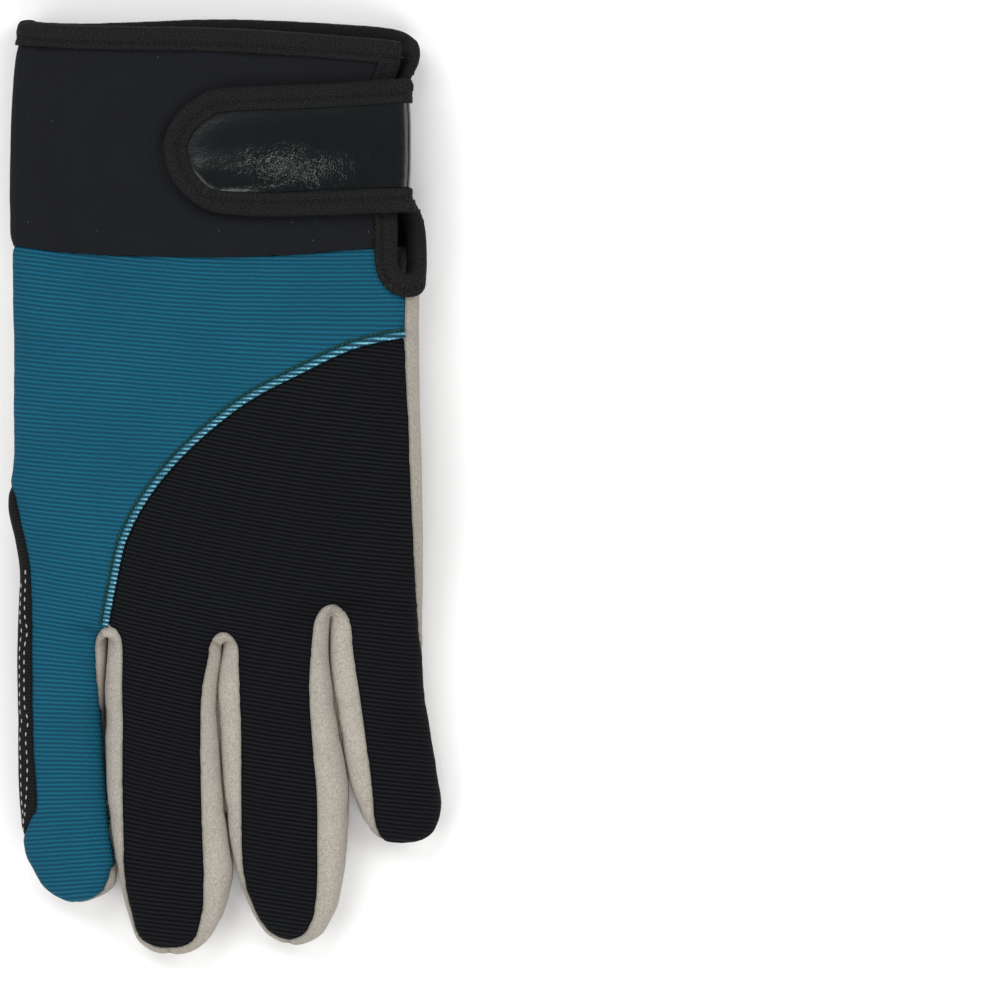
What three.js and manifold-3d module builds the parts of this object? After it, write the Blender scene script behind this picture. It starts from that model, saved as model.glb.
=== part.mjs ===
// A left-hand sport glove with a padded palm, lying back up with its thumb folded under the palm.
// Millimetres, +Z up. The fingers point along -Y and the cuff opens along +Y.
// The origin is on the surface that the glove lies on, under the middle of its outline.
import * as THREE from 'three';
import { mergeVertices } from 'three/addons/utils/BufferGeometryUtils.js';
import Module from 'manifold-3d';

const wasm = await Module();
wasm.setup();

// Cloth thicknesses and the gap left between two sewn pieces
const WALL = 1.3;
const CUFF_WALL = 2.6;
const CUFF_PROUD = 0.4;
const TAPE = 0.8;
const TAPE_WIDTH = 5.6;
const SEAM = 0.3;
const STRAP_THICK = 1.2;
const STRAP_TAPE = 0.6;
const PAD_THICK = 2.6;

// How far the cut between back and palm rises clear of the palm's drape
const TEAL_RISE = 4;
const TEAL_DROP = 1.3;
const TEAL_TURN = { fromY: -34, toY: -20, fromX: -46, toX: -30 };
const BLACK_RISE = 3;
const BLACK_TURN = { fromY: -44, toY: -36 };

// Shape of the sections
const HAND_FULLNESS = 3;
const FINGER_FULLNESS = 2.3;
const CROWN_X = -3;
const HAND_SIDES = 22;
const FINGER_SIDES = 12;
const HAND_STEPS = 9;
const CUFF_STEPS = 6;
const STRAP_END_SIDES = 9;
const PAD_SIDES = 15;

// Limits that lie clear of the whole glove
const TOP_OF_ALL = 60;
const BELOW_ALL = -20;
const OUTSIDE = 80;
const PAST_CUFF = 160;
const PAST_TIPS = -130;

// Hand and cuff, one row for each section from the wrist opening to the knuckles:
// the outline's left and right, and the heights of the back, the widest line and the palm
const HAND = [
  { y: 130, left: -52.0, right: 48.2, top: 16.0, mid: 7.8, low: 1.35 },
  { y: 120, left: -52.6, right: 48.4, top: 16.4, mid: 8.0, low: 1.35 },
  { y: 111, left: -54.4, right: 48.4, top: 17.0, mid: 8.2, low: 1.35 },
  { y: 103, left: -55.2, right: 45.2, top: 17.4, mid: 8.5, low: 1.35 },
  { y: 90, left: -55.8, right: 44.6, top: 18.0, mid: 8.8, low: 1.35 },
  { y: 79, left: -55.9, right: 45.2, top: 18.6, mid: 9.0, low: 1.35 },
  { y: 70, left: -55.8, right: 49.6, top: 19.4, mid: 9.3, low: 1.4 },
  { y: 61, left: -55.6, right: 50.6, top: 20.4, mid: 9.8, low: 1.7 },
  { y: 49, left: -55.4, right: 50.3, top: 22.0, mid: 11.0, low: 2.4 },
  { y: 37, left: -55.1, right: 50.2, top: 23.6, mid: 12.4, low: 3.2 },
  { y: 23, left: -55.1, right: 50.4, top: 25.0, mid: 13.8, low: 3.6 },
  { y: 7, left: -55.1, right: 50.9, top: 25.6, mid: 14.6, low: 3.6 },
  { y: -5, left: -56.5, right: 51.1, top: 25.4, mid: 14.4, low: 3.6 },
  { y: -14, left: -54.7, right: 51.2, top: 24.8, mid: 13.4, low: 3.4 },
  { y: -22, left: -53.4, right: 51.2, top: 24.0, mid: 12.2, low: 3.0 },
  { y: -31, left: -53.6, right: 50.9, top: 22.4, mid: 10.8, low: 2.2 },
  { y: -38, left: -54.0, right: 50.6, top: 20.0, mid: 9.4, low: 1.6 },
];

// The crotches between the fingers lie on this line, and the hand's sections start to turn to it here
const KNUCKLE_Y = -38;
const KNUCKLE_TURN_Y = -18;
const KNUCKLES = [
  { x: -56, y: -39.5 },
  { x: -31, y: -39.7 },
  { x: -17, y: -41.5 },
  { x: 12, y: -41.8 },
  { x: 27, y: -33.2 },
  { x: 53, y: -32 },
];

// Heights along the fingers, the same for all four
const FINGER_HEIGHTS = [
  { y: -122, top: 13.5, mid: 6.0, low: -1.2 },
  { y: -100, top: 14.8, mid: 6.4, low: -1.2 },
  { y: -82, top: 15.8, mid: 6.8, low: -1.2 },
  { y: -64, top: 17.2, mid: 7.6, low: -1.0 },
  { y: -50, top: 18.4, mid: 8.6, low: 0.4 },
  { y: -40, top: 18.8, mid: 9.4, low: 1.7 },
  { y: -26, top: 17.6, mid: 10.4, low: 3.6 },
];

// Stations of the finger sections, parts of the way round a fingertip, and the shape of its cap
const FINGER_STATIONS = [-26, -42, -62, -80];
const TIP_PARTS = [0.45, 0.76, 0.94];
const SEAM_ROUNDNESS = 2.1;
const TIP_HEIGHT_POWER = 0.8;

// Fingers, one row for each section: outline left and right, and the seams of the back panel.
// tip is the end of the outline, seamTip the end of the back panel, and roundness shapes the tip.
const FINGERS = [
  {
    height: 0.97, roundness: 1.75,
    tip: { x: -38.6, y: -108.2 }, seamTip: { x: -38.6, y: -107.4 },
    rows: [
      { y: -91, left: -53.2, seamLeft: -52.4, seamRight: -31.1, right: -29.6 },
      { y: -82, left: -53.8, seamLeft: -49.4, seamRight: -32.0, right: -30.9 },
      { y: -64, left: -54.2, seamLeft: -50.4, seamRight: -32.8, right: -31.6 },
      { y: -42, left: -54.2, seamLeft: -50.7, seamRight: -33.8, right: -31.5 },
      { y: -26, left: -53.4, seamLeft: -50.8, seamRight: -33.0, right: -31.2 },
    ],
  },
  {
    height: 1.04, roundness: 1.65,
    tip: { x: -15.1, y: -121.5 }, seamTip: { x: -15.1, y: -120.0 },
    rows: [
      { y: -100, left: -28.9, seamLeft: -26.8, seamRight: -5.7, right: 2.0 },
      { y: -82, left: -30.3, seamLeft: -27.0, seamRight: -6.3, right: -0.5 },
      { y: -64, left: -30.7, seamLeft: -26.9, seamRight: -6.4, right: -2.5 },
      { y: -53, left: -31.0, seamLeft: -27.0, seamRight: -6.0, right: -2.6 },
      { y: -42, left: -30.7, seamLeft: -27.2, seamRight: -3.9, right: -1.2 },
      { y: -26, left: -30.4, seamLeft: -28.0, seamRight: -2.9, right: -0.8 },
    ],
  },
  {
    height: 1.02, roundness: 1.7,
    tip: { x: 18.0, y: -119.1 }, seamTip: { x: 16.3, y: -117.8 },
    rows: [
      { y: -100, left: 2.9, seamLeft: 4.4, seamRight: 23.8, right: 31.1 },
      { y: -82, left: 0.3, seamLeft: 4.0, seamRight: 23.7, right: 31.9 },
      { y: -64, left: -1.6, seamLeft: 3.9, seamRight: 22.4, right: 29.5 },
      { y: -53, left: -1.9, seamLeft: 3.6, seamRight: 21.8, right: 27.6 },
      { y: -42, left: -0.5, seamLeft: 3.2, seamRight: 22.4, right: 26.6 },
      { y: -26, left: -0.2, seamLeft: 3.6, seamRight: 24.4, right: 27.2 },
    ],
  },
  {
    height: 0.92, roundness: 2.3,
    tip: { x: 45.0, y: -93.0 }, seamTip: { x: 45.0, y: -92.2 },
    rows: [
      { y: -81, left: 34.0, seamLeft: 38.2, seamRight: 56.2, right: 56.6 },
      { y: -76, left: 32.5, seamLeft: 37.7, seamRight: 55.5, right: 55.9 },
      { y: -64, left: 30.4, seamLeft: 36.1, seamRight: 53.3, right: 53.7 },
      { y: -53, left: 28.3, seamLeft: 34.6, seamRight: 51.6, right: 52.0 },
      { y: -42, left: 27.3, seamLeft: 33.0, seamRight: 50.2, right: 50.7 },
      { y: -20, left: 27.9, seamLeft: 31.6, seamRight: 49.0, right: 51.1 },
    ],
  },
];

// Crotch ends of the three finger side strips, and where the strips' seams start to turn
const ARCH_PARTS = [0.45, 0.85];
const CROTCHES = [
  { x: -30.4, y: -36.3, start: -44 },
  { x: -0.8, y: -37.8, start: -45 },
  { x: 27.6, y: -30.6, start: -39 },
];

// Seam between the teal and the black panel, from the outer edge to the first crotch
const BACK_SEAM = [
  { x: 46.6, y: 38.9 },
  { x: 33.5, y: 35.9 },
  { x: 19.2, y: 29.2 },
  { x: 4.9, y: 21.4 },
  { x: -9.1, y: 9.8 },
  { x: -19.2, y: -2.0 },
  { x: -25.5, y: -13.7 },
  { x: -28.3, y: -25.4 },
  { x: -30.4, y: -36.3 },
];

// Outer edge of the back panels, where they meet the suede
const TEAL_CORNER = { x: 47.2, y: 62.6 };
const OUTER_SEAM = [
  { y: 38.9, x: 46.6 },
  { y: 19, x: 47.6 },
  { y: -6, x: 48.6 },
  { y: -29, x: 49.8 },
  { y: -42, x: 50.3 },
];

// Seam between the hand and the cuff
const CUFF_SEAM = [
  { x: -60, y: 63.6 },
  { x: -43.2, y: 61.2 },
  { x: -20, y: 60.0 },
  { x: 10, y: 60.0 },
  { x: 38.7, y: 62.2 },
  { x: 60, y: 63.8 },
];

// Top edges of the cuff: its back part, and its palm part with the round corner at the slit
const CUFF_TOP_BACK = [
  { x: -60, y: 120.9 },
  { x: -38, y: 119.2 },
  { x: 0, y: 118.4 },
  { x: 36, y: 116.0 },
  { x: 50, y: 114.6 },
];
const CORNER_X = 46;
const CUFF_TOP_PALM = [
  { x: -60, y: 120.9 },
  { x: -38, y: 120.0 },
  { x: 0, y: 121.1 },
  { x: 36, y: 119.4 },
  { x: 44, y: 117.8 },
  { x: 48, y: 114.5 },
  { x: 50, y: 110.0 },
  { x: 53, y: 101.0 },
];

// Wrist slit: its edge on the back of the cuff, and how far above the widest line the palm side ends
const SLIT = [
  { y: 56, x: 45.2 },
  { y: 70, x: 44.9 },
  { y: 79, x: 42.2 },
  { y: 90, x: 41.3 },
  { y: 103, x: 42.0 },
  { y: 111, x: 44.6 },
  { y: 130, x: 45.0 },
];
const SLIT_END = [
  { x: 45.8, y: 54.2 },
  { x: 47.2, y: 53.1 },
  { x: 49.0, y: 52.9 },
];
const SLIT_EDGE_RISE = 4.2;

// Where the bindings of the cuff's top edges and of its slit end
const TOP_SPLIT = { x: 46.4, y: 110.2 };
const PALM_TAPE_FROM_Y = 106.6;
const SLIT_TAPE = { fromX: 30, fromY: 40, toY: 71 };

// Thumb, one row for each section, from inside the hand to the tip
const THUMB = [
  { x: -39, y: 37, z: 15.5, wide: 8.5, tall: 3.6 },
  { x: -37, y: 30.5, z: 10.5, wide: 11.5, tall: 4.6 },
  { x: -31.5, y: 22, z: 5.8, wide: 13.0, tall: 4.8 },
  { x: -21.5, y: 11.5, z: 4.4, wide: 13.2, tall: 4.7 },
  { x: -9, y: -2, z: 4.2, wide: 12.6, tall: 4.5 },
  { x: -1.5, y: -9.5, z: 4.1, wide: 10.6, tall: 4.4 },
  { x: 2.4, y: -13.2, z: 4.0, wide: 7.4, tall: 3.9 },
  { x: 4.6, y: -15.4, z: 4.0, wide: 3.2, tall: 2.4 },
];

// The palm drapes over the thumb: a roof along this line, level out to its reach
const THUMB_ROOF = 10.2;
const THUMB_FROM = new THREE.Vector2(-38, 32);
const THUMB_TO = new THREE.Vector2(1, -9);
const ROOF_REACH = 15;
const ROOF_FADE = 12;

// Black strip along the index finger: its inner edge, from the thumb root to the fingertip
const GUARD_EDGE = [
  { y: 0.4, x: -56.6 },
  { y: -2, x: -54.9 },
  { y: -9.8, x: -53.3 },
  { y: -17.6, x: -51.6 },
  { y: -29, x: -50.7 },
  { y: -64, x: -50.4 },
  { y: -82, x: -49.4 },
  { y: -86, x: -51.0 },
  { y: -91.4, x: -53.6 },
];
const GUARD_LOW = 3.2;

const GUARD_REACH = { tipX: -52, fingerX: -47, fingerFrom: -80, fingerTo: -20, rootX: -52 };

// Height of the seam between a finger's side strip and its underside, and how it rises past the
// crotch
const STRIP_LOW = 3.4;
const STRIP_RISE = 4;
const STRIP_TOP = 3;
const STRIP_BEND_Y = -44.5;

// Padded patch on the outer half of the palm, and how far below the widest line it ends
const PAD_SIDE_DROP = 6;
const PAD_OUTLINE = [
  { x: 24, y: -19 },
  { x: 17, y: -4 },
  { x: 14, y: 14 },
  { x: 17, y: 29 },
  { x: 30, y: 35 },
  { x: 44, y: 33 },
  { x: 60, y: 26 },
  { x: 60, y: -20 },
  { x: 42, y: -24 },
];

// Closing strap: its binding's outer edge, with a half-round free end, and its binding's width
const STRAP = { rootX: 70, tipX: 0.5, topRoot: 106.4, topTip: 103.0, lowRoot: 72.2, lowTip: 71.4 };
const STRAP_TAPE_WIDTH = 5.0;
const STRAP_SIDE = { x: 20, low: 5, backLow: 9 };
const STRAP_LIFT = { rise: 2.1, from: 29, to: 36 };

// Smooth value of one column of a table whose rows are in order of the key column
function read(table, key, at, column) {
  const rows = table[0][key] < table[table.length - 1][key] ? table : [...table].reverse();
  const last = rows.length - 1;
  let i = 0;
  while (i < last - 1 && rows[i + 1][key] < at) i += 1;
  const span = rows[i + 1][key] - rows[i][key];
  const part = THREE.MathUtils.clamp((at - rows[i][key]) / span, 0, 1);
  const slope = (k) => {
    const a = rows[Math.max(k - 1, 0)];
    const b = rows[Math.min(k + 1, last)];
    return (b[column] - a[column]) / (b[key] - a[key]);
  };
  const square = part * part;
  const cube = square * part;
  return (2 * cube - 3 * square + 1) * rows[i][column] + (cube - 2 * square + part) * span * slope(i)
    + (3 * square - 2 * cube) * rows[i + 1][column] + (cube - square) * span * slope(i + 1);
}

// Height of the palm's underside, which drapes over the folded thumb
function palmLow(x, y, low) {
  const along = THUMB_TO.clone().sub(THUMB_FROM);
  const offset = new THREE.Vector2(x, y).sub(THUMB_FROM);
  const part = THREE.MathUtils.clamp(offset.dot(along) / along.lengthSq(), 0, 1);
  const distance = offset.sub(along.multiplyScalar(part)).length();
  const drape = 1 - THREE.MathUtils.smoothstep(distance, ROOF_REACH, ROOF_REACH + ROOF_FADE);
  return low + (THUMB_ROOF - low) * drape;
}

// Joins rings of points, each of the same count, into a closed solid
function loftSolid(rings) {
  const sides = rings[0].length;
  const points = rings.flat();
  const faces = [];
  for (let r = 0; r < rings.length - 1; r += 1) {
    for (let k = 0; k < sides; k += 1) {
      const a = r * sides + k;
      const b = r * sides + (k + 1) % sides;
      faces.push(a, b, a + sides, b, b + sides, a + sides);
    }
  }
  for (const [r, turned] of [[0, false], [rings.length - 1, true]]) {
    const centre = points.length;
    points.push(rings[r].reduce((sum, p) => sum.add(p), new THREE.Vector3()).divideScalar(sides));
    for (let k = 0; k < sides; k += 1) {
      const a = r * sides + k;
      const b = r * sides + (k + 1) % sides;
      faces.push(...(turned ? [a, b, centre] : [b, a, centre]));
    }
  }
  const geometry = new THREE.BufferGeometry().setFromPoints(points);
  geometry.setIndex(faces);
  return solidOf(geometry);
}

// Turns a closed geometry into a solid for joining and cutting
function solidOf(geometry) {
  geometry.deleteAttribute('normal');
  geometry.deleteAttribute('uv');
  const merged = mergeVertices(geometry, 1e-4);
  return new wasm.Manifold(new wasm.Mesh({
    numProp: 3,
    vertProperties: new Float32Array(merged.attributes.position.array),
    triVerts: new Uint32Array(merged.index.array),
  }));
}

// One ring of a section that is flat above and below and rounded at its sides. The wall lies flat
// where it would reach below the surface, and a smaller inner section keeps the wall's thickness.
function sectionRing(section, sides, fullness, grow) {
  const ring = [];
  const floor = Math.max(0, -grow);
  for (let k = 0; k < sides; k += 1) {
    const angle = (2 * Math.PI * k) / sides;
    const across = Math.sign(Math.cos(angle)) * Math.abs(Math.cos(angle)) ** (2 / fullness);
    const rise = Math.abs(Math.sin(angle)) ** (2 / fullness);
    const reach = across > 0 ? section.right - section.crown : section.crown - section.left;
    const x = section.crown + reach * across;
    const height = Math.sin(angle) >= 0 ? section.top(x) - section.mid : section.low(x) - section.mid;
    ring.push(new THREE.Vector3(x, section.yAt(x), Math.max(section.mid + height * rise, floor)));
  }
  return ring;
}

// Hand and cuff between two stations, with its surface moved out by grow and up by swell(x).
// beyond moves the two ends outwards, to cut through another such solid.
function handSolid(grow, { from, to, steps, beyond = [0, 0], swell = () => 0 }) {
  const rings = [];
  for (let k = 0; k <= steps; k += 1) {
    const y = from + ((to - from) * k) / steps;
    const turn = THREE.MathUtils.smoothstep(-y, -KNUCKLE_TURN_Y, -KNUCKLE_Y);
    const endShift = (x) => (read(KNUCKLES, 'x', x, 'y') - KNUCKLE_Y) * turn;
    rings.push(sectionRing({
      left: read(HAND, 'y', y, 'left') - grow,
      right: read(HAND, 'y', y, 'right') + grow,
      crown: CROWN_X,
      mid: read(HAND, 'y', y, 'mid'),
      top: (x) => read(HAND, 'y', y, 'top') + grow + swell(x),
      low: (x) => palmLow(x, y, read(HAND, 'y', y, 'low')) - grow,
      yAt: (x) => y + endShift(x) + (k === 0 ? beyond[0] : 0) - (k === steps ? beyond[1] : 0),
    }, HAND_SIDES, HAND_FULLNESS, grow));
  }
  return loftSolid(rings);
}

// Outline of a finger at one station: its edges, its back panel's seams and how much of its
// height is left towards the tip
function fingerAt(finger, y) {
  const lastY = finger.rows[0].y;
  const sample = Math.max(y, lastY);
  const edge = {};
  for (const column of ['left', 'right', 'seamLeft', 'seamRight']) {
    edge[column] = read(finger.rows, 'y', sample, column);
  }
  const close = (a, b, tip, roundness) => {
    const part = THREE.MathUtils.clamp((lastY - y) / (lastY - tip.y), 0, 1);
    const keep = (1 - part ** roundness) ** (1 / roundness);
    const middle = THREE.MathUtils.lerp((a + b) / 2, tip.x, part);
    return [middle - (keep * (b - a)) / 2, middle + (keep * (b - a)) / 2, keep];
  };
  const [left, right, keep] = close(edge.left, edge.right, finger.tip, finger.roundness);
  const [seamLeft, seamRight] = close(edge.seamLeft, edge.seamRight, finger.seamTip, SEAM_ROUNDNESS);
  return { left, right, seamLeft, seamRight, keep };
}

// One finger, closed at its tip, with its surface moved out by grow
function fingerSolid(finger, grow) {
  const lastY = finger.rows[0].y;
  const stations = [...FINGER_STATIONS.filter((y) => y > lastY + TAPE_WIDTH), lastY];
  const reach = lastY - finger.tip.y + grow;
  const rings = [];
  const addRing = (y, shape) => {
    const sample = Math.max(y, finger.tip.y);
    const mid = read(FINGER_HEIGHTS, 'y', sample, 'mid');
    const top = read(FINGER_HEIGHTS, 'y', sample, 'top') * finger.height;
    const low = read(FINGER_HEIGHTS, 'y', sample, 'low');
    const keepHigh = shape.keep ** TIP_HEIGHT_POWER;
    rings.push(sectionRing({
      left: shape.left - grow * shape.keep,
      right: shape.right + grow * shape.keep,
      crown: (shape.left + shape.right) / 2,
      mid,
      top: () => mid + (top + grow - mid) * keepHigh,
      low: () => mid + (low - grow - mid) * keepHigh,
      yAt: () => y,
    }, FINGER_SIDES, FINGER_FULLNESS, grow));
  };
  for (const y of stations) addRing(y, fingerAt(finger, y));
  for (const part of TIP_PARTS) {
    const y = lastY - part * reach;
    addRing(y, fingerAt(finger, lastY - part * (lastY - finger.tip.y)));
  }
  return loftSolid(rings);
}

// Thumb, closed at its tip, with its surface moved out by grow
function thumbSolid(grow) {
  const centres = THUMB.map((row) => new THREE.Vector3(row.x, row.y, row.z));
  const path = new THREE.CatmullRomCurve3(centres, false, 'centripetal');
  const up = new THREE.Vector3(0, 0, 1);
  const rings = THUMB.map((row, r) => {
    const ahead = path.getTangent(r / (THUMB.length - 1));
    const side = new THREE.Vector3().crossVectors(up, ahead).normalize();
    const rise = new THREE.Vector3().crossVectors(ahead, side).normalize();
    const centre = centres[r].clone();
    if (r === THUMB.length - 1) centre.addScaledVector(ahead, grow);
    const ring = [];
    for (let k = 0; k < FINGER_SIDES; k += 1) {
      const angle = (2 * Math.PI * k) / FINGER_SIDES;
      const across = Math.sign(Math.cos(angle)) * Math.abs(Math.cos(angle)) ** (2 / FINGER_FULLNESS);
      const high = Math.sign(Math.sin(angle)) * Math.abs(Math.sin(angle)) ** (2 / FINGER_FULLNESS);
      const point = centre.clone()
        .addScaledVector(side, across * (row.wide + grow))
        .addScaledVector(rise, high * (row.tall + grow));
      point.z = Math.max(point.z, Math.max(0, -grow));
      ring.push(point);
    }
    return ring;
  });
  return loftSolid(rings);
}

// Upright block over an outline, from the height low(x, y) up to high(x, y)
function block(outline, low, high = () => TOP_OF_ALL) {
  const shape = new THREE.Shape(outline.map((p) => new THREE.Vector2(p.x, p.y)));
  const geometry = new THREE.ExtrudeGeometry(shape, { depth: 1, bevelEnabled: false });
  const place = geometry.attributes.position;
  for (let k = 0; k < place.count; k += 1) {
    const x = place.getX(k);
    const y = place.getY(k);
    place.setZ(k, place.getZ(k) > 0.5 ? high(x, y) : low(x, y));
  }
  return solidOf(geometry);
}

// Closed smooth outline through a table's points
function curveThrough(table, count) {
  const places = table.map((p) => new THREE.Vector3(p.x, p.y, 0));
  return new THREE.CatmullRomCurve3(places, true).getPoints(count).slice(0, -1);
}

// The same line moved sideways, to its left when distance is positive
function shifted(line, distance) {
  return line.map((point, k) => {
    const before = line[Math.max(k - 1, 0)];
    const after = line[Math.min(k + 1, line.length - 1)];
    const ahead = after.clone().sub(before).normalize();
    return new THREE.Vector2(point.x - ahead.y * distance, point.y + ahead.x * distance);
  });
}

// Height of the widest line of the hand or of the fingers
const widest = (x, y) => (y > KNUCKLE_Y ? read(HAND, 'y', y, 'mid') : read(FINGER_HEIGHTS, 'y', y, 'mid'));

// Where the back panels are cut from what lies below them, clear of the palm's drape over the thumb
const underTeal = (x, y) => widest(x, y) - TEAL_DROP + (TEAL_RISE + TEAL_DROP)
  * THREE.MathUtils.smoothstep(y, TEAL_TURN.fromY, TEAL_TURN.toY)
  * THREE.MathUtils.smoothstep(x, TEAL_TURN.fromX, TEAL_TURN.toX);
const underBlack = (x, y) => widest(x, y)
  + BLACK_RISE * THREE.MathUtils.smoothstep(y, BLACK_TURN.fromY, BLACK_TURN.toY);

// Seam line of a finger's back panel from its start near the crotch down to the tip
function fingerSeam(finger, column, startY) {
  const line = [];
  const lastY = finger.rows[0].y;
  for (const y of [startY, (startY + lastY) / 2, lastY]) {
    line.push(new THREE.Vector2(fingerAt(finger, y)[column], y));
  }
  for (const part of TIP_PARTS) {
    const y = lastY - part * (lastY - finger.seamTip.y);
    line.push(new THREE.Vector2(fingerAt(finger, y)[column], y));
  }
  line.push(new THREE.Vector2(finger.seamTip.x, finger.seamTip.y));
  return line;
}

// Seam of one side strip: up the first finger, round the crotch and down the next
function stripSeam(index) {
  const crotch = CROTCHES[index];
  const first = fingerSeam(FINGERS[index], 'seamRight', crotch.start).reverse();
  const next = fingerSeam(FINGERS[index + 1], 'seamLeft', crotch.start);
  const a = first[first.length - 1];
  const b = next[0];
  const arch = (end) => ARCH_PARTS.map((part) => new THREE.Vector2(
    crotch.x + (end.x - crotch.x) * Math.sqrt(1 - part * part),
    crotch.start + (crotch.y - crotch.start) * part));
  return [...first, ...arch(a), new THREE.Vector2(crotch.x, crotch.y), ...arch(b).reverse(), ...next];
}

const at = (x, y) => new THREE.Vector2(x, y);
const square = (left, right, low, high) => [
  at(left, low), at(right, low), at(right, high), at(left, high),
];
const stripSeams = CROTCHES.map((crotch, index) => stripSeam(index));
const backSeam = new THREE.SplineCurve(BACK_SEAM.map((p) => at(p.x, p.y))).getPoints(11);
const guardEdge = GUARD_EDGE.map((p) => at(p.x, p.y));
const GUARD_ROOT_Y = GUARD_EDGE[0].y;
const GUARD_TIP_Y = GUARD_EDGE[GUARD_EDGE.length - 1].y;
const outerSeam = OUTER_SEAM.map((p) => at(p.x, p.y));
const cuffSeam = CUFF_SEAM.map((p) => at(p.x, p.y));

// The half of a side strip's seam that belongs to its first or its second finger
const crotchPlace = (seam, index) => seam.findIndex((p) => p.x === CROTCHES[index].x);
const upFirst = (index) => stripSeams[index].slice(0, crotchPlace(stripSeams[index], index) + 1);
const downNext = (index) => stripSeams[index].slice(crotchPlace(stripSeams[index], index));

// Teal panel's outline, widened by grow
function tealOutline(grow) {
  return [
    at(-OUTSIDE, CUFF_SEAM[0].y),
    ...shifted(cuffSeam, grow - SEAM / 2).filter((p) => p.x > CUFF_SEAM[0].x && p.x < TEAL_CORNER.x - 1),
    at(TEAL_CORNER.x + grow, TEAL_CORNER.y + grow),
    ...shifted(backSeam, grow), ...shifted(upFirst(0).slice(0, -1), -grow).reverse(),
    at(FINGERS[0].seamTip.x + grow, PAST_TIPS), at(-OUTSIDE, PAST_TIPS),
    at(-OUTSIDE, GUARD_TIP_Y + grow), ...shifted(guardEdge, -grow).reverse(), at(-OUTSIDE, GUARD_ROOT_Y - grow),
  ];
}

// Black panel's outline, widened by grow
function blackOutline(grow) {
  const fingerEdge = [
    ...downNext(0).slice(1), ...upFirst(1).slice(1), ...downNext(1).slice(1),
    ...upFirst(2).slice(1), ...downNext(2).slice(1),
  ];
  return [
    ...shifted(backSeam, SEAM - grow),
    ...shifted(fingerEdge, -grow),
    at(FINGERS[3].seamTip.x - grow, PAST_TIPS), at(OUTSIDE, PAST_TIPS), at(OUTSIDE, -42),
    ...shifted(outerSeam, grow).reverse().slice(0, -1),
    at(OUTER_SEAM[0].x + grow, OUTER_SEAM[0].y - SEAM * 1.2 + grow),
  ];
}

// Zone of one side strip: between the middles of two fingers, below the crotch, widened by grow
function stripZone(index, grow) {
  const left = FINGERS[index].seamTip.x + SEAM / 2 - grow;
  const right = FINGERS[index + 1].seamTip.x - SEAM / 2 + grow;
  const top = CROTCHES[index].y + STRIP_TOP;
  return block(square(left, right, PAST_TIPS, STRIP_BEND_Y), () => STRIP_LOW - grow)
    .add(block(square(left, right, STRIP_BEND_Y - 1, top), () => STRIP_LOW + STRIP_RISE - grow));
}

// Zone of the black strip along the index finger
function guardOutline(grow) {
  const tipY = GUARD_TIP_Y + SEAM - grow;
  const rootY = GUARD_ROOT_Y - SEAM + grow;
  return [
    at(-OUTSIDE, tipY), at(GUARD_REACH.tipX, tipY), at(GUARD_REACH.fingerX, GUARD_REACH.fingerFrom),
    at(GUARD_REACH.fingerX, GUARD_REACH.fingerTo), at(GUARD_REACH.rootX, rootY), at(-OUTSIDE, rootY),
  ];
}

// What lies within the distance wide of the cuff's free edges: beyond its two top edges and in
// its slit
function freeEdges(wide) {
  const topBack = shifted(CUFF_TOP_BACK.map((p) => at(p.x, p.y)), -wide);
  const topPalm = shifted(CUFF_TOP_PALM.map((p) => at(p.x, p.y)), -wide);
  const slit = SLIT.map((p) => at(p.x - wide, p.y));
  const endLine = [SLIT[0], ...SLIT_END, { x: OUTSIDE, y: SLIT_END[SLIT_END.length - 1].y }];
  const end = shifted(endLine.map((p) => at(p.x, p.y)), -wide);
  const edgeHeight = (x, y) => widest(x, y) + SLIT_EDGE_RISE - wide;
  const beyond = (line) => [
    at(-OUTSIDE, line[0].y), ...line, at(OUTSIDE, line[line.length - 1].y),
    at(OUTSIDE, PAST_CUFF), at(-OUTSIDE, PAST_CUFF),
  ];
  const corner = [
    at(CORNER_X, topPalm[4].y), ...topPalm.slice(5), at(OUTSIDE, CUFF_TOP_PALM[CUFF_TOP_PALM.length - 1].y),
    at(OUTSIDE, PAST_CUFF), at(CORNER_X, PAST_CUFF),
  ];
  return block(beyond(topBack), widest)
    .add(block(beyond(topPalm), () => BELOW_ALL, (x, y) => widest(x, y) + SLIT_EDGE_RISE / 2))
    .add(block(corner, () => 0))
    .add(block([...slit.reverse(), ...end.slice(1), at(OUTSIDE, SLIT[SLIT.length - 1].y)], edgeHeight));
}

// Stretches of the hand and cuff whose skins share their stations, so that offset skins stay parallel
const HAND_SPAN = { from: 68, to: KNUCKLE_Y, steps: HAND_STEPS };
const CUFF_SPAN = { from: 128, to: 44, steps: CUFF_STEPS };

// Wall of the hand or cuff between two distances from its outer surface
function skin(outside, inside, span, swell) {
  return handSolid(outside, { ...span, swell })
    .subtract(handSolid(inside, { ...span, beyond: [2, 2], swell }));
}

// Strap outline, moved in by inset
function strapOutline(inset) {
  const low = STRAP.lowTip + inset;
  const high = STRAP.topTip - inset;
  const radius = (high - low) / 2;
  const outline = [at(STRAP.rootX, STRAP.topRoot - inset)];
  for (let k = 0; k <= STRAP_END_SIDES; k += 1) {
    const angle = Math.PI / 2 + (Math.PI * k) / STRAP_END_SIDES;
    outline.push(at(STRAP.tipX + radius * Math.cos(angle), low + radius + radius * Math.sin(angle)));
  }
  outline.push(at(STRAP.rootX, STRAP.lowRoot + inset));
  return outline;
}

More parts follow.
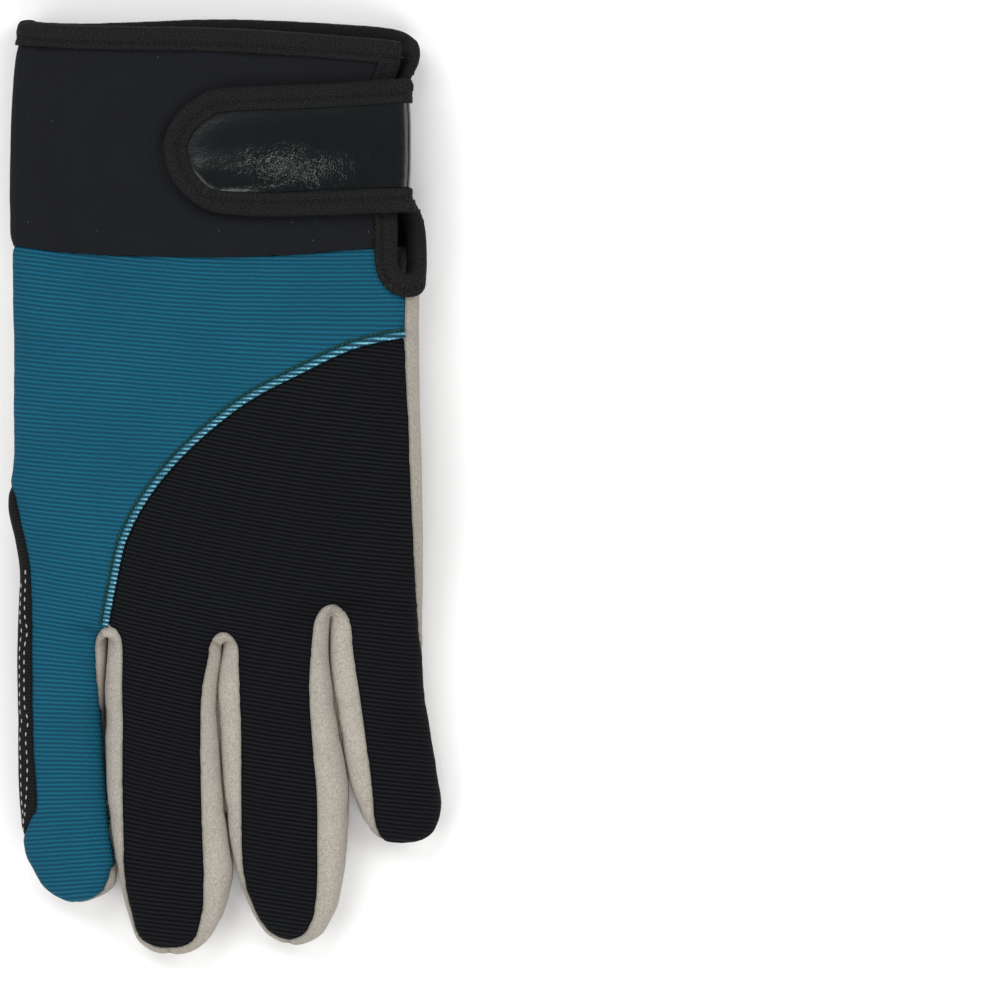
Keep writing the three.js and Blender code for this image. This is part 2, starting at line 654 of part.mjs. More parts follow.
const materials = {
  teal: new THREE.MeshStandardMaterial({ color: 0x15637f, roughness: 0.75, metalness: 0 }),
  black: new THREE.MeshStandardMaterial({ color: 0x121316, roughness: 0.85, metalness: 0 }),
  grey: new THREE.MeshStandardMaterial({ color: 0xaaa39b, roughness: 0.95, metalness: 0 }),
  foam: new THREE.MeshStandardMaterial({ color: 0x1c1a1e, roughness: 0.9, metalness: 0 }),
  tape: new THREE.MeshStandardMaterial({ color: 0x242221, roughness: 0.8, metalness: 0 }),
  gloss: new THREE.MeshStandardMaterial({ color: 0x0e1416, roughness: 0.25, metalness: 0 }),
};

const glove = new THREE.Group();

function addPiece(name, solid, material) {
  const result = solid.getMesh();
  const geometry = new THREE.BufferGeometry();
  geometry.setAttribute('position', new THREE.BufferAttribute(new Float32Array(result.vertProperties), 3));
  geometry.setIndex(new THREE.BufferAttribute(new Uint32Array(result.triVerts), 1));
  geometry.computeVertexNormals();
  const mesh = new THREE.Mesh(geometry, material);
  mesh.name = name;
  glove.add(mesh);
}

// The hand with its fingers and thumb, as one hollow wall
const outer = FINGERS.reduce((sum, finger) => sum.add(fingerSolid(finger, 0)), handSolid(0, HAND_SPAN));
const inner = FINGERS.reduce((sum, finger) => sum.add(fingerSolid(finger, -WALL)),
  handSolid(-WALL, { ...HAND_SPAN, beyond: [4, -WALL] })).add(thumbSolid(-WALL));
const hand = outer.subtract(inner).subtract(freeEdges(TAPE + SEAM));

// The side of the cuff's seam that the cuff lies on, with its edge moved by shift
const pastSeam = (shift) => [at(-OUTSIDE, PAST_CUFF), ...shifted(cuffSeam, shift), at(OUTSIDE, PAST_CUFF)];

// Back panels
addPiece('back_teal', hand.intersect(block(tealOutline(0), underTeal)), materials.teal);
addPiece('back_black', hand.intersect(block(blackOutline(0), underBlack)), materials.black);
const backs = [0, SEAM].map((grow) => block(tealOutline(grow), (x, y) => underTeal(x, y) - SEAM)
  .add(block(blackOutline(grow), (x, y) => underBlack(x, y) - SEAM))).reduce((sum, part) => sum.add(part));
const sides = hand.subtract(backs);

// Finger side strips
const stripNames = ['fourchette_index_middle', 'fourchette_middle_ring', 'fourchette_ring_little'];
stripNames.forEach((name, index) => {
  addPiece(name, sides.intersect(stripZone(index, 0)), materials.grey);
});

// Black strip along the index finger
addPiece('index_guard', sides.intersect(block(guardOutline(0), () => GUARD_LOW)), materials.black);

// Palm with the undersides of the fingers, and the thumb
const palmRegion = stripNames.reduce((sum, name, index) => sum.subtract(stripZone(index, SEAM)), sides)
  .subtract(block(guardOutline(SEAM), () => GUARD_LOW - SEAM))
  .subtract(block(pastSeam(-SEAM / 2), () => BELOW_ALL));
addPiece('palm', palmRegion, materials.grey);
const thumbWall = thumbSolid(0).subtract(thumbSolid(-WALL)).subtract(handSolid(SEAM, HAND_SPAN));
addPiece('thumb', thumbWall, materials.grey);

// Padded patch on the palm
const underSide = (x, y) => widest(x, y) - PAD_SIDE_DROP;
const padZone = block(curveThrough(PAD_OUTLINE, PAD_SIDES), () => BELOW_ALL, underSide);
addPiece('palm_pad', skin(SEAM + PAD_THICK, SEAM, HAND_SPAN).intersect(padZone), materials.black);

// Cuff
const cuffZone = block(pastSeam(SEAM / 2), () => BELOW_ALL);
const cuffInside = CUFF_PROUD - CUFF_WALL;
addPiece('cuff', skin(CUFF_PROUD, cuffInside, CUFF_SPAN).intersect(cuffZone)
  .subtract(freeEdges(TAPE + SEAM)), materials.foam);

// Folded bindings round the free edges of the cuff
const tape = skin(CUFF_PROUD + SEAM + TAPE, cuffInside - SEAM - TAPE, CUFF_SPAN)
  .subtract(freeEdges(0)).intersect(freeEdges(TAPE_WIDTH))
  .subtract(skin(CUFF_PROUD + SEAM, cuffInside - SEAM, CUFF_SPAN).subtract(freeEdges(TAPE)));
const backTop = block(square(-OUTSIDE, TOP_SPLIT.x, TOP_SPLIT.y, PAST_CUFF), widest);
const besideSlit = [
  at(SLIT_TAPE.fromX, SLIT_TAPE.fromY),
  ...SLIT.slice(0, -1).map((p) => at(p.x + SEAM, Math.min(p.y, TOP_SPLIT.y - SEAM))),
  at(SLIT_TAPE.fromX, TOP_SPLIT.y - SEAM),
];
const slitSide = block(besideSlit, widest)
  .add(block(square(SLIT_TAPE.fromX, OUTSIDE, SLIT_TAPE.fromY, SLIT_TAPE.toY), () => 0));
const belowBack = (x, y) => widest(x, y) - SEAM;
const palmTop = block(square(-OUTSIDE, OUTSIDE, PALM_TAPE_FROM_Y, PAST_CUFF), () => BELOW_ALL, belowBack)
  .add(block(square(TOP_SPLIT.x + SEAM, OUTSIDE, PALM_TAPE_FROM_Y, PAST_CUFF), () => BELOW_ALL));
addPiece('cuff_top_binding_back', tape.intersect(backTop), materials.tape);
addPiece('slit_binding_back', tape.intersect(slitSide), materials.tape);
addPiece('cuff_top_binding_palm', tape.intersect(palmTop), materials.tape);

// Closing strap with its folded binding
const overSlit = (x) => STRAP_LIFT.rise * THREE.MathUtils.smoothstep(x, STRAP_LIFT.from, STRAP_LIFT.to);
const strapLow = CUFF_PROUD + SEAM;
const plateLow = strapLow + STRAP_TAPE + SEAM;
const plateHigh = plateLow + STRAP_THICK;
const strapHigh = plateHigh + SEAM + STRAP_TAPE;
const strapFloor = (x) => (x > STRAP_SIDE.x ? STRAP_SIDE.low : STRAP_SIDE.backLow);
const onBack = (inset, drop = 0) => block(strapOutline(inset), (x) => strapFloor(x) - drop);
const plate = skin(plateHigh, plateLow, CUFF_SPAN, overSlit).intersect(onBack(STRAP_TAPE + SEAM));
addPiece('strap', plate, materials.gloss);
const plateSlot = skin(plateHigh + SEAM, plateLow - SEAM, CUFF_SPAN, overSlit).intersect(onBack(STRAP_TAPE, 1));
const folded = skin(strapHigh, strapLow, CUFF_SPAN, overSlit)
  .intersect(onBack(0)).subtract(onBack(STRAP_TAPE_WIDTH, 1)).subtract(plateSlot);
addPiece('strap_binding', folded, materials.tape);

export default glove;
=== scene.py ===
import math

import bpy
import numpy as np
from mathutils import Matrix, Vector, kdtree, noise
from mathutils.bvhtree import BVHTree


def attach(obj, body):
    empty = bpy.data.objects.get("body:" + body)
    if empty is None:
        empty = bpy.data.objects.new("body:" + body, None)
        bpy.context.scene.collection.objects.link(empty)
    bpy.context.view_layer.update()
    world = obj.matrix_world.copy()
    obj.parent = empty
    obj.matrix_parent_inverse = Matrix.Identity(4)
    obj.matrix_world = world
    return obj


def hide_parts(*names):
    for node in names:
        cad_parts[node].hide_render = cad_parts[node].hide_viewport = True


bl_info = {
    "name": "Padded palm glove",
    "version": (1, 0, 0),
    "blender": (4, 5, 0),
    "location": "View3D > Sidebar > Glove",
    "description": "Dresses the solids of a left-hand sport glove in its cloth, suede, "
                   "bindings and thread",
    "category": "Object",
}

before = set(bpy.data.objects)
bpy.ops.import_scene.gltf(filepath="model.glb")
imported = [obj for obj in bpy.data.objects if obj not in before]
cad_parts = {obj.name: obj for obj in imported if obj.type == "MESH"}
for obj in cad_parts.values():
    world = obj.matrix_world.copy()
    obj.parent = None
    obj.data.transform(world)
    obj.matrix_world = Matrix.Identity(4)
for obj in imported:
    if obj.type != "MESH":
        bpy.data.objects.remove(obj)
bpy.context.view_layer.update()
MM = 0.001

# Millimetres throughout. Rows run from the cuff (+Y) to the fingertips (-Y).
# Hand and cuff sections: y, left, right, top, widest line's height, underside
HAND = np.array([
    (130, -52.0, 48.2, 16.0, 7.8, 1.35), (120, -52.6, 48.4, 16.4, 8.0, 1.35),
    (111, -54.4, 48.4, 17.0, 8.2, 1.35), (103, -55.2, 45.2, 17.4, 8.5, 1.35),
    (90, -55.8, 44.6, 18.0, 8.8, 1.35), (79, -55.9, 45.2, 18.6, 9.0, 1.35),
    (70, -55.8, 49.6, 19.4, 9.3, 1.4), (61, -55.6, 50.6, 20.4, 9.8, 1.7),
    (49, -55.4, 50.3, 22.0, 11.0, 2.4), (37, -55.1, 50.2, 23.6, 12.4, 3.2),
    (23, -55.1, 50.4, 25.0, 13.8, 3.6), (7, -55.1, 50.9, 25.6, 14.6, 3.6),
    (-5, -56.5, 51.1, 25.4, 14.4, 3.6), (-14, -54.7, 51.2, 24.8, 13.4, 3.4),
    (-22, -53.6, 51.2, 24.0, 12.2, 3.0), (-31, -54.0, 51.2, 22.4, 10.8, 2.2),
    (-38, -54.4, 51.1, 20.0, 9.4, 1.6)])
KNUCKLES = np.array([(-56, -39.5), (-31, -39.2), (-17, -41.5), (-1, -42.0), (12, -40.5),
                     (27, -31.5), (53, -31.5)])
KNUCKLE_Y = -38.0
KNUCKLE_TURN_Y = -18.0
HAND_FULLNESS = 3.0
THUMB_FULLNESS = 2.3
CROWN_X = -3.0
RING_POINTS = 900
LEAST_Z = 0.02

# Finger heights: y, top, widest line, underside
FINGER_HEIGHTS = np.array([
    (-122, 13.5, 6.0, -1.2), (-100, 14.8, 6.4, -1.2), (-82, 15.8, 6.8, -1.2),
    (-64, 17.2, 7.6, -1.0), (-50, 18.4, 8.6, 0.4), (-40, 18.8, 9.4, 1.7),
    (-26, 17.6, 10.4, 3.6)])
FINGER_ROOT_Y = -26
TIP_FULLNESS = 2.3
TIP_TURN = math.radians(87)

# Fingers: rows of y, left, seam left, seam right, right. full is how full the left and right
# sides are; from high_y on the finger thins towards its tip.
FINGERS = [
    {"height": 0.97, "high_y": -92, "roundness": 1.7, "tip": (-39.0, -108.2),
     "seam_roundness": 2.2, "seam_tip": (-39.2, -108.6), "full": (2.3, 2.6),
     "rows": np.array([
         (-102.6, -48.6, -48.2, -30.6, -28.6), (-99.5, -50.2, -49.9, -29.7, -28.4),
         (-96.3, -52.0, -51.6, -29.3, -28.7), (-91, -53.0, -52.4, -29.4, -29.6),
         (-82, -53.8, -49.4, -30.4, -30.7), (-74, -54.1, -50.0, -30.9, -31.3),
         (-64, -54.2, -50.4, -31.6, -31.7), (-53, -54.3, -50.6, -32.9, -31.6),
         (-42, -54.4, -50.7, -33.6, -30.8), (-26, -53.8, -50.8, -33.0, -30.7)])},
    {"height": 1.04, "high_y": -98, "roundness": 2.5, "tip": (-13.9, -121.6),
     "seam_roundness": 2.4, "seam_tip": (-15.0, -120.1), "full": (4.4, 4.4),
     "rows": np.array([
         (-115.1, -24.2, -23.9, -7.2, -3.0), (-111.9, -25.2, -24.7, -6.4, -1.3),
         (-108.8, -26.2, -25.5, -5.9, 0.0), (-105.7, -27.0, -26.1, -5.8, 0.8),
         (-99.5, -28.3, -26.8, -5.7, 1.8), (-92, -29.5, -26.8, -6.0, 0.8),
         (-85, -30.4, -26.9, -6.2, 0.0), (-76, -31.1, -27.0, -6.4, -0.95),
         (-64, -31.5, -26.9, -6.4, -1.65), (-53, -31.5, -27.0, -6.0, -2.2),
         (-42, -30.7, -27.0, -3.9, -1.0), (-26, -30.3, -28.0, -2.9, -0.4)])},
    {"height": 1.02, "high_y": -98, "roundness": 2.0, "tip": (17.9, -119.2),
     "seam_roundness": 2.0, "seam_tip": (16.2, -118.0), "full": (4.4, 4.4),
     "rows": np.array([
         (-115.1, 9.6, 10.2, 21.2, 25.8), (-111.9, 7.5, 7.9, 22.7, 27.6),
         (-108.8, 6.0, 6.6, 23.2, 29.0), (-105.7, 4.7, 5.3, 23.6, 29.7),
         (-99.5, 2.6, 4.2, 23.9, 30.8), (-92, 0.9, 3.9, 23.9, 31.5), (-85, 0.0, 3.9, 23.9, 31.9),
         (-76, -1.0, 3.9, 23.4, 31.7), (-64, -1.75, 3.9, 22.4, 29.7),
         (-53, -2.3, 3.6, 21.8, 27.95), (-42, -1.0, 3.2, 22.4, 26.8),
         (-26, -0.1, 3.6, 24.4, 27.8)])},
    {"height": 0.92, "high_y": -78, "roundness": 2.4, "tip": (45.8, -92.8),
     "seam_roundness": 2.0, "seam_tip": (41.2, -93.0), "full": (4.0, 2.4),
     "rows": np.array([
         (-88.5, 37.2, 38.9, 42.5, 54.8), (-85.4, 35.2, 38.3, 42.3, 55.8),
         (-82.3, 34.0, 38.2, 55.8, 56.2), (-76, 31.95, 37.7, 55.2, 55.3),
         (-64, 29.65, 36.1, 53.3, 53.3), (-53, 27.85, 34.6, 51.6, 51.7),
         (-42, 26.8, 33.0, 50.2, 51.1), (-20, 28.1, 31.6, 49.0, 51.2)])},
]
# Crotches between the fingers: x, y, and the y where the side strips' seams start to turn
CROTCHES = [(-30.2, -36.2, -40.4), (-0.8, -37.8, -43.4), (27.6, -30.6, -38)]
GAPS_X = (-31.0, -1.2, 27.6)

# Seams and edges in plan: x, y
BACK_SEAM = [(46.6, 38.9), (33.5, 35.9), (19.2, 29.2), (4.9, 21.4), (-9.1, 9.8), (-19.2, -2.0),
             (-25.5, -13.7), (-28.3, -25.4), (-30.4, -36.3)]
TEAL_CORNER = (47.2, 62.6)
TEAL_PAST_SEAM = 1.6
OUTER_SEAM = [(46.6, 38.9), (47.6, 19), (48.6, -6), (49.7, -27), (50.4, -36), (51.4, -44)]
CUFF_SEAM = np.array([(-60, 63.6), (-43.2, 61.2), (-20, 60.0), (10, 60.0), (38.7, 62.2),
                      (60, 63.8)])
CUFF_TOP_BACK = np.array([(-60, 120.9), (-38, 119.2), (0, 118.4), (36, 116.0), (50, 114.6)])
CUFF_TOP_PALM = np.array([(-60, 120.9), (-38, 120.0), (0, 121.1), (36, 119.4), (44, 117.8)])
CUFF_TOP_LEFT_Y = 120.8
# Back side of the slit: y, x
SLIT = np.array([(56, 43.9), (70, 43.7), (79, 42.2), (90, 41.3), (103, 42.0), (111, 44.6),
                 (130, 45.0)])
GUARD_EDGE = [(-56.6, 0.4), (-54.9, -2), (-53.3, -9.8), (-51.6, -17.6), (-50.7, -29),
              (-50.4, -64), (-49.4, -82), (-51.0, -86), (-53.6, -91.4)]
GUARD_INNER = [(-52, GUARD_EDGE[-1][1]), (-47, -80), (-47, -20), (-52, 0.4)]
GUARD_ROWS = [[(-53.13, -25.5), (-53.2, -28), (-53.5, -36), (-53.55, -50), (-53.55, -64),
               (-53.1, -80), (-52.8, -89)],
              [(-51.95, -22), (-52.0, -27), (-52.3, -45), (-52.3, -52), (-51.9, -64),
               (-51.4, -76), (-51.9, -85), (-52.7, -87)]]
PAD_OUTLINE = [(24, -19), (17, -4), (14, 14), (17, 29), (30, 35), (44, 33), (60, 26), (60, -20),
               (42, -24)]
STRAP_EDGE = [(47.8, 105.4), (24.2, 103.9), (-0.8, 102.8), (-7.3, 100.2), (-12.2, 96.1),
              (-14.8, 91.1), (-15.3, 87.8), (-14.0, 82.0), (-10.7, 77.1), (-5.7, 73.2),
              (1.0, 71.6), (15.9, 71.1), (47.8, 72.4)]
PATCH_EDGE = [(47.8, 100.2), (28.0, 99.2), (7.5, 98.2), (-0.8, 97.4), (-5.7, 95.3),
              (-9.1, 91.9), (-11.2, 87.8), (-10.4, 84.4), (-7.3, 79.4), (-4.2, 77.1),
              (1.0, 76.1), (15.9, 77.1), (28.3, 78.1), (47.8, 78.4)]
OUTSIDE = 80.0
PAST_TIPS = -130.0
FAR = 20.0
NO_SEAM = 50.0

# Heights of the seams on the hand's sides
GUARD_LOW = 3.2
STRIP_LOW = 3.4
STRIP_RISE = 4.0
STRIP_TOP = 3.0
STRIP_BEND_Y = -44.5
PAD_SIDE_DROP = 6.0

# Thumb sections: x, y, z, half width, half height
THUMB = np.array([
    (-39, 37, 15.5, 8.5, 3.6), (-37, 30.5, 10.5, 11.5, 4.6), (-31.5, 22, 5.8, 13.0, 4.8),
    (-21.5, 11.5, 4.4, 13.2, 4.7), (-9, -2, 4.2, 12.6, 4.5), (-1.5, -9.5, 4.1, 10.6, 4.4),
    (2.4, -13.2, 4.0, 7.4, 3.9), (4.6, -15.4, 4.0, 3.2, 2.4)])
THUMB_SEAM_Z = 4.4
THUMB_ROOF = 10.2
THUMB_FROM = np.array([-38.0, 32.0])
THUMB_TO = np.array([1.0, -9.0])
ROOF_REACH = 15.0
ROOF_FADE = 12.0

# Cuff, bindings, strap, roll and stitches. Stitches: length and width in metres
CUFF_PROUD = 0.4
CUFF_TAPE_HIGH = 1.1
CUFF_ROW_INSET = 3.4
STRAP_SIDE_X = 46.0
STRAP_FLAT_X = 24.0
STRAP_OVER_S = 9.0
STRAP_BODY = (1.6, 0.6)
STRAP_TOP = 1.85
PATCH_UNDER = 1.4
STRAP_TAPE_WIDTH = 5.4
STRAP_ROW_INSET = 3.0
ROLL_HALF = 0.95
ROLL_HIGH = 0.62
DARK_STITCH = (0.0021, 0.0006)
GREEN_STITCH = (0.0014, 0.0008)
WHITE_STITCH = (0.0014, 0.00042)
GREEN_PITCH = 0.0013
WHITE_PITCH = 0.0023
STITCH_SEED = 7
STITCH_LEAST = (0.86, 0.85, 0.9)
STITCH_MOST = (1.06, 1.15, 1.1)
SHARP_ANGLE = math.radians(50)

# Folds over the fingers: y, reach, depth, slope
FINGER_FOLDS = ((-58, 2.6, 0.35, 0.05), (-63, 2.0, 0.25, -0.04), (-84, 2.2, 0.28, 0.03))

# How the ribs fall to the right on the teal panel: y, slope, bend
TEAL_FALL = np.array([
    (62, 0.138, 0.0021), (45, 0.12, 0.0017), (31, 0.098, 0.0006), (10, 0.088, 0.0010),
    (-11, 0.115, 0.0010), (-32, 0.16, 0.0), (-52, 0.045, 0.0), (-71, 0.02, 0.0),
    (-89, -0.05, 0.0), (-107, -0.05, 0.0)])

# Grain field of the patch in its cloth coordinates, and the colour of lint
GRAIN_CENTRE = (41.0, 82.5, 0.0)
GRAIN_REACH = (19.0, 7.6, 1.0)
LINT_COLOUR = (0.2, 0.2, 0.2, 1.0)

# Stage, in metres: lamps with their turn in degrees and their power, and the camera
LAMPS = (("key", 118.0, 25.0), ("right", 20.0, 18.5), ("front", -75.0, 21.5), ("left", 205.0, 18.5))
LAMP_AWAY = 1.5
LAMP_SIZE = 1.7
FLOOR_HALF = 6
CAMERA_PLACE = (0.07124, -0.00325, 3.6)
CAMERA_SENSOR = 36.0
FIELD_WIDTH = 0.26
FIELD_HEIGHT = 0.012

# Shapes read from the tables

def smoothstep(at, low, high):
    part = np.clip((np.asarray(at, float) - low) / (high - low), 0, 1)
    return part * part * (3 - 2 * part)


def smooth(table, column, at, key=0):
    """Smooth value of one column of a table, at any key."""
    rows = table if table[0, key] < table[-1, key] else table[::-1]
    keys, values = rows[:, key], rows[:, column]
    last = len(keys) - 1
    before = np.maximum(np.arange(last + 1) - 1, 0)
    after = np.minimum(np.arange(last + 1) + 1, last)
    slope = (values[after] - values[before]) / (keys[after] - keys[before])
    at = np.asarray(at, float)
    i = np.clip(np.searchsorted(keys, at) - 1, 0, last - 1)
    span = keys[i + 1] - keys[i]
    t = np.clip((at - keys[i]) / span, 0, 1)
    t2, t3 = t * t, t * t * t
    return ((2 * t3 - 3 * t2 + 1) * values[i] + (t3 - 2 * t2 + t) * span * slope[i]
            + (3 * t2 - 2 * t3) * values[i + 1] + (t3 - t2) * span * slope[i + 1])


def palm_low(x, y, low):
    """Height of the palm's underside, which drapes over the folded thumb."""
    along = THUMB_TO - THUMB_FROM
    dx, dy = x - THUMB_FROM[0], y - THUMB_FROM[1]
    part = np.clip((dx * along[0] + dy * along[1]) / (along @ along), 0, 1)
    distance = np.hypot(dx - along[0] * part, dy - along[1] * part)
    return low + (THUMB_ROOF - low) * (1 - smoothstep(distance, ROOF_REACH, ROOF_REACH + ROOF_FADE))


def widest(y):
    """Height of the widest line of the hand or of the fingers."""
    return np.where(y > KNUCKLE_Y, smooth(HAND, 4, y), smooth(FINGER_HEIGHTS, 2, y))


def closed(line):
    return np.vstack([line, line[:1]])


def run_of(line):
    """Run from the start of a line to each of its points."""
    return np.concatenate([[0], np.cumsum(np.linalg.norm(np.diff(line, axis=0), axis=1))])


def along(at, run, line):
    """Places on a line at given runs."""
    return np.stack([np.interp(at, run, column) for column in line.T], 1)


def unit(vectors):
    return vectors / np.linalg.norm(vectors, axis=1)[:, None]


def even_ring(x, y, z, sides):
    """The same closed ring with its points evenly spaced."""
    ring = closed(np.stack([x, y, z], 1))
    run = run_of(ring)
    return along(np.linspace(0, run[-1], sides, endpoint=False), run, ring)


def superellipse(fullness, count=RING_POINTS, left=None):
    """Across and rise of a full oval, which may be fuller on its left side."""
    angle = np.linspace(0, 2 * np.pi, count, endpoint=False)
    if left is not None:
        fullness = np.where(np.cos(angle) < 0, left, fullness)

    def filled(part):
        return np.sign(part) * np.abs(part) ** (2 / fullness)
    return filled(np.cos(angle)), filled(np.sin(angle))


def hand_ring(y, grow=0.0):
    """Fine ring of the hand or cuff at one station."""
    across, rise = superellipse(HAND_FULLNESS)
    left, right, top, mid, low = (float(smooth(HAND, k, y)) for k in range(1, 6))
    x = CROWN_X + np.where(across > 0, right + grow - CROWN_X, CROWN_X - left + grow) * across
    under = mid - palm_low(x, y, low) + grow
    z = mid + np.where(rise >= 0, top + grow - mid, under) * rise
    turn = smoothstep(-y, -KNUCKLE_TURN_Y, -KNUCKLE_Y)
    shift = (smooth(KNUCKLES, 1, x) - KNUCKLE_Y) * turn
    return x, y + shift, np.maximum(z, 0)


def finger_at(finger, y):
    """A finger's edges, its back panel's seams, and the height left towards its tip."""
    rows = finger["rows"]
    last = rows[0, 0]
    edge = [float(smooth(rows, k, max(y, last))) for k in range(1, 5)]
    if y < last:
        edge = [e + (rows[0, k + 1] - rows[1, k + 1]) / (rows[1, 0] - last) * (last - y)
                for k, e in enumerate(edge)]

    def close(a, b, tip, roundness):
        part = min(max((last - y) / (last - tip[1]), 0), 1)
        half = (1 - part ** roundness) ** (1 / roundness) * (b - a) / 2
        middle = (a + b) / 2 * (1 - part) + tip[0] * part
        return middle - half, middle + half
    left, right = close(edge[0], edge[3], finger["tip"], finger["roundness"])
    seams = close(edge[1], edge[2], finger["seam_tip"], finger["seam_roundness"])
    thinned = min(max((finger["high_y"] - y) / (finger["high_y"] - finger["tip"][1]), 0), 1)
    return left, right, *seams, (1 - thinned ** TIP_FULLNESS) ** (1 / TIP_FULLNESS)


def finger_rings(finger, spacing, sides):
    """Rings of one finger from inside the hand to its tip."""
    last, tip_y = finger["rows"][0, 0], finger["tip"][1]
    stations = list(np.arange(FINGER_ROOT_Y, last, -spacing))
    stations += [last - (last - tip_y) * math.sin(a) for a in np.linspace(0, TIP_TURN, 22)]
    across, rise = superellipse(finger["full"][1], left=finger["full"][0])
    rings = []
    for y in stations:
        left, right, _, _, high = finger_at(finger, y)
        top, mid, low = (float(smooth(FINGER_HEIGHTS, k, y)) for k in (1, 2, 3))
        top *= finger["height"]
        x = (left + right) / 2 + (right - left) / 2 * across
        under = mid - palm_low(x, y, low)
        z = mid + np.where(rise >= 0, top - mid, under) * high * rise
        rings.append(even_ring(x, np.full_like(x, y), np.maximum(z, 0), sides))
    return rings


def spline(points, per=8, loop=False):
    """Smooth line through points."""
    p = np.array(points, float)
    n = len(p)
    out = []
    for i in range(n if loop else n - 1):
        near = i + np.arange(-1, 3)
        a, b, c, d = p[near % n if loop else np.clip(near, 0, n - 1)]
        for t in np.linspace(0, 1, per, endpoint=False):
            out.append(0.5 * (2 * b + (c - a) * t + (2 * a - 5 * b + 4 * c - d) * t * t
                              + (3 * b - a - 3 * c + d) * t ** 3))
    if not loop:
        out.append(p[-1])
    return np.array(out)


def even_line(points, spacing):
    """The same open line with its points evenly spaced."""
    line = np.asarray(points, float)
    run = run_of(line)
    count = max(int(round(run[-1] / spacing)), 2)
    return along(np.linspace(0, run[-1], count + 1), run, line)


def finger_seam(finger, side, start):
    """One seam of a finger's back panel, from start to the tip, in plan."""
    last, tip = finger["rows"][0, 0], finger["seam_tip"]
    ys = list(np.arange(start, last, -1.0))
    ys += [last - (last - tip[1]) * math.sin(a) for a in np.linspace(0, math.radians(86), 14)]
    return [(finger_at(finger, y)[side], y) for y in ys] + [tuple(tip)]


def strip_seam(index):
    """Seam of one side strip in two halves: up the first finger to the crotch, and down the
    next one."""
    x, y, start = CROTCHES[index]
    first = finger_seam(FINGERS[index], 3, start)[::-1]
    following = finger_seam(FINGERS[index + 1], 2, start)

    def arch(end):
        return [(x + (end[0] - x) * math.cos(a), start + (y - start) * math.sin(a))
                for a in np.linspace(0, math.pi / 2, 9)[1:-1]]
    return first + arch(first[-1]) + [(x, y)], [(x, y)] + arch(following[0])[::-1] + following


# Outlines of the panels, in plan

STRIPS = [strip_seam(k) for k in range(3)]
BACK_LINE = spline(BACK_SEAM, 10)
GUARD_LINE = spline(GUARD_EDGE, 5)
CUFF_LINE = [(x, float(smooth(CUFF_SEAM, 1, x))) for x in np.linspace(-60, 60, 46)]


def teal_outline():
    """Outline of the teal back, which passes the strip's seam a little along the index finger."""
    up = []
    for x, y in STRIPS[0][0][::-1]:
        past = float(smoothstep(-y, 56, 63) * smoothstep(y, -100, -96))
        up.append((x + TEAL_PAST_SEAM * past, y))
    return ([(-OUTSIDE, CUFF_SEAM[0, 1])] + [p for p in CUFF_LINE if p[0] < TEAL_CORNER[0] - 1]
            + [TEAL_CORNER] + list(map(tuple, BACK_LINE[:-1])) + up
            + [(up[-1][0], PAST_TIPS), (-OUTSIDE, PAST_TIPS), (-OUTSIDE, GUARD_EDGE[-1][1])]
            + list(map(tuple, GUARD_LINE[::-1])) + [(-OUTSIDE, GUARD_EDGE[0][1])])


def black_outline():
    line = list(map(tuple, BACK_LINE)) + STRIPS[0][1][1:]
    for up, down in STRIPS[1:]:
        line += up[1:] + down[1:]
    return line + [(line[-1][0], PAST_TIPS), (OUTSIDE, PAST_TIPS),
                   (OUTSIDE, OUTER_SEAM[-1][1])] + OUTER_SEAM[::-1][:-1]


def side_distance(points, outline):
    """Signed distance in plan from each point to a closed outline, positive inside."""
    p = np.asarray(points)[:, :2]
    o = np.asarray(outline, float)
    a, b = o, np.roll(o, -1, 0)
    best = np.full(len(p), 1e9)
    inside = np.zeros(len(p), bool)
    for (ax, ay), (bx, by) in zip(a, b):
        dx, dy = bx - ax, by - ay
        length = dx * dx + dy * dy
        if length < 1e-12:
            continue
        t = np.clip(((p[:, 0] - ax) * dx + (p[:, 1] - ay) * dy) / length, 0, 1)
        best = np.minimum(best, np.hypot(p[:, 0] - ax - t * dx, p[:, 1] - ay - t * dy))
        if ay != by:
            crosses = (ay > p[:, 1]) != (by > p[:, 1])
            inside ^= crosses & (p[:, 0] < (p[:, 1] - ay) * dx / dy + ax)
    return np.where(inside, best, -best)


# Mesh work

def grid_faces(grid):
    """Triangles over a grid of point numbers."""
    a, b, c, d = grid[:-1, :-1], grid[:-1, 1:], grid[1:, :-1], grid[1:, 1:]
    return np.concatenate([np.stack(corners, -1).reshape(-1, 3)
                           for corners in ((a, b, c), (b, d, c))])


def loft(rings):
    """Closed mesh over rings of the same count, with a fan at each end."""
    points = np.vstack(rings)
    grid = np.arange(len(points)).reshape(len(rings), -1)
    parts = [grid_faces(np.hstack([grid, grid[:, :1]]))]
    for ring, way in ((grid[0], 1), (grid[-1], -1)):
        first, second = (np.roll(ring, -1), ring)[::way]
        parts.append(np.column_stack([first, second, np.full(len(ring), len(points))]))
        points = np.vstack([points, points[ring].mean(0)])
    return points, np.concatenate(parts)


def as_tuples(points, faces):
    return [tuple(p) for p in points], [tuple(map(int, f)) for f in faces]


def raw_mesh(name, points, faces):
    mesh = bpy.data.meshes.new(name)
    places, corners = as_tuples(np.asarray(points) * MM, faces)
    mesh.from_pydata(places, [], corners)
    mesh.update()
    return mesh


def link(name, mesh):
    made = bpy.data.objects.new(name, mesh)
    bpy.context.scene.collection.objects.link(made)
    return made


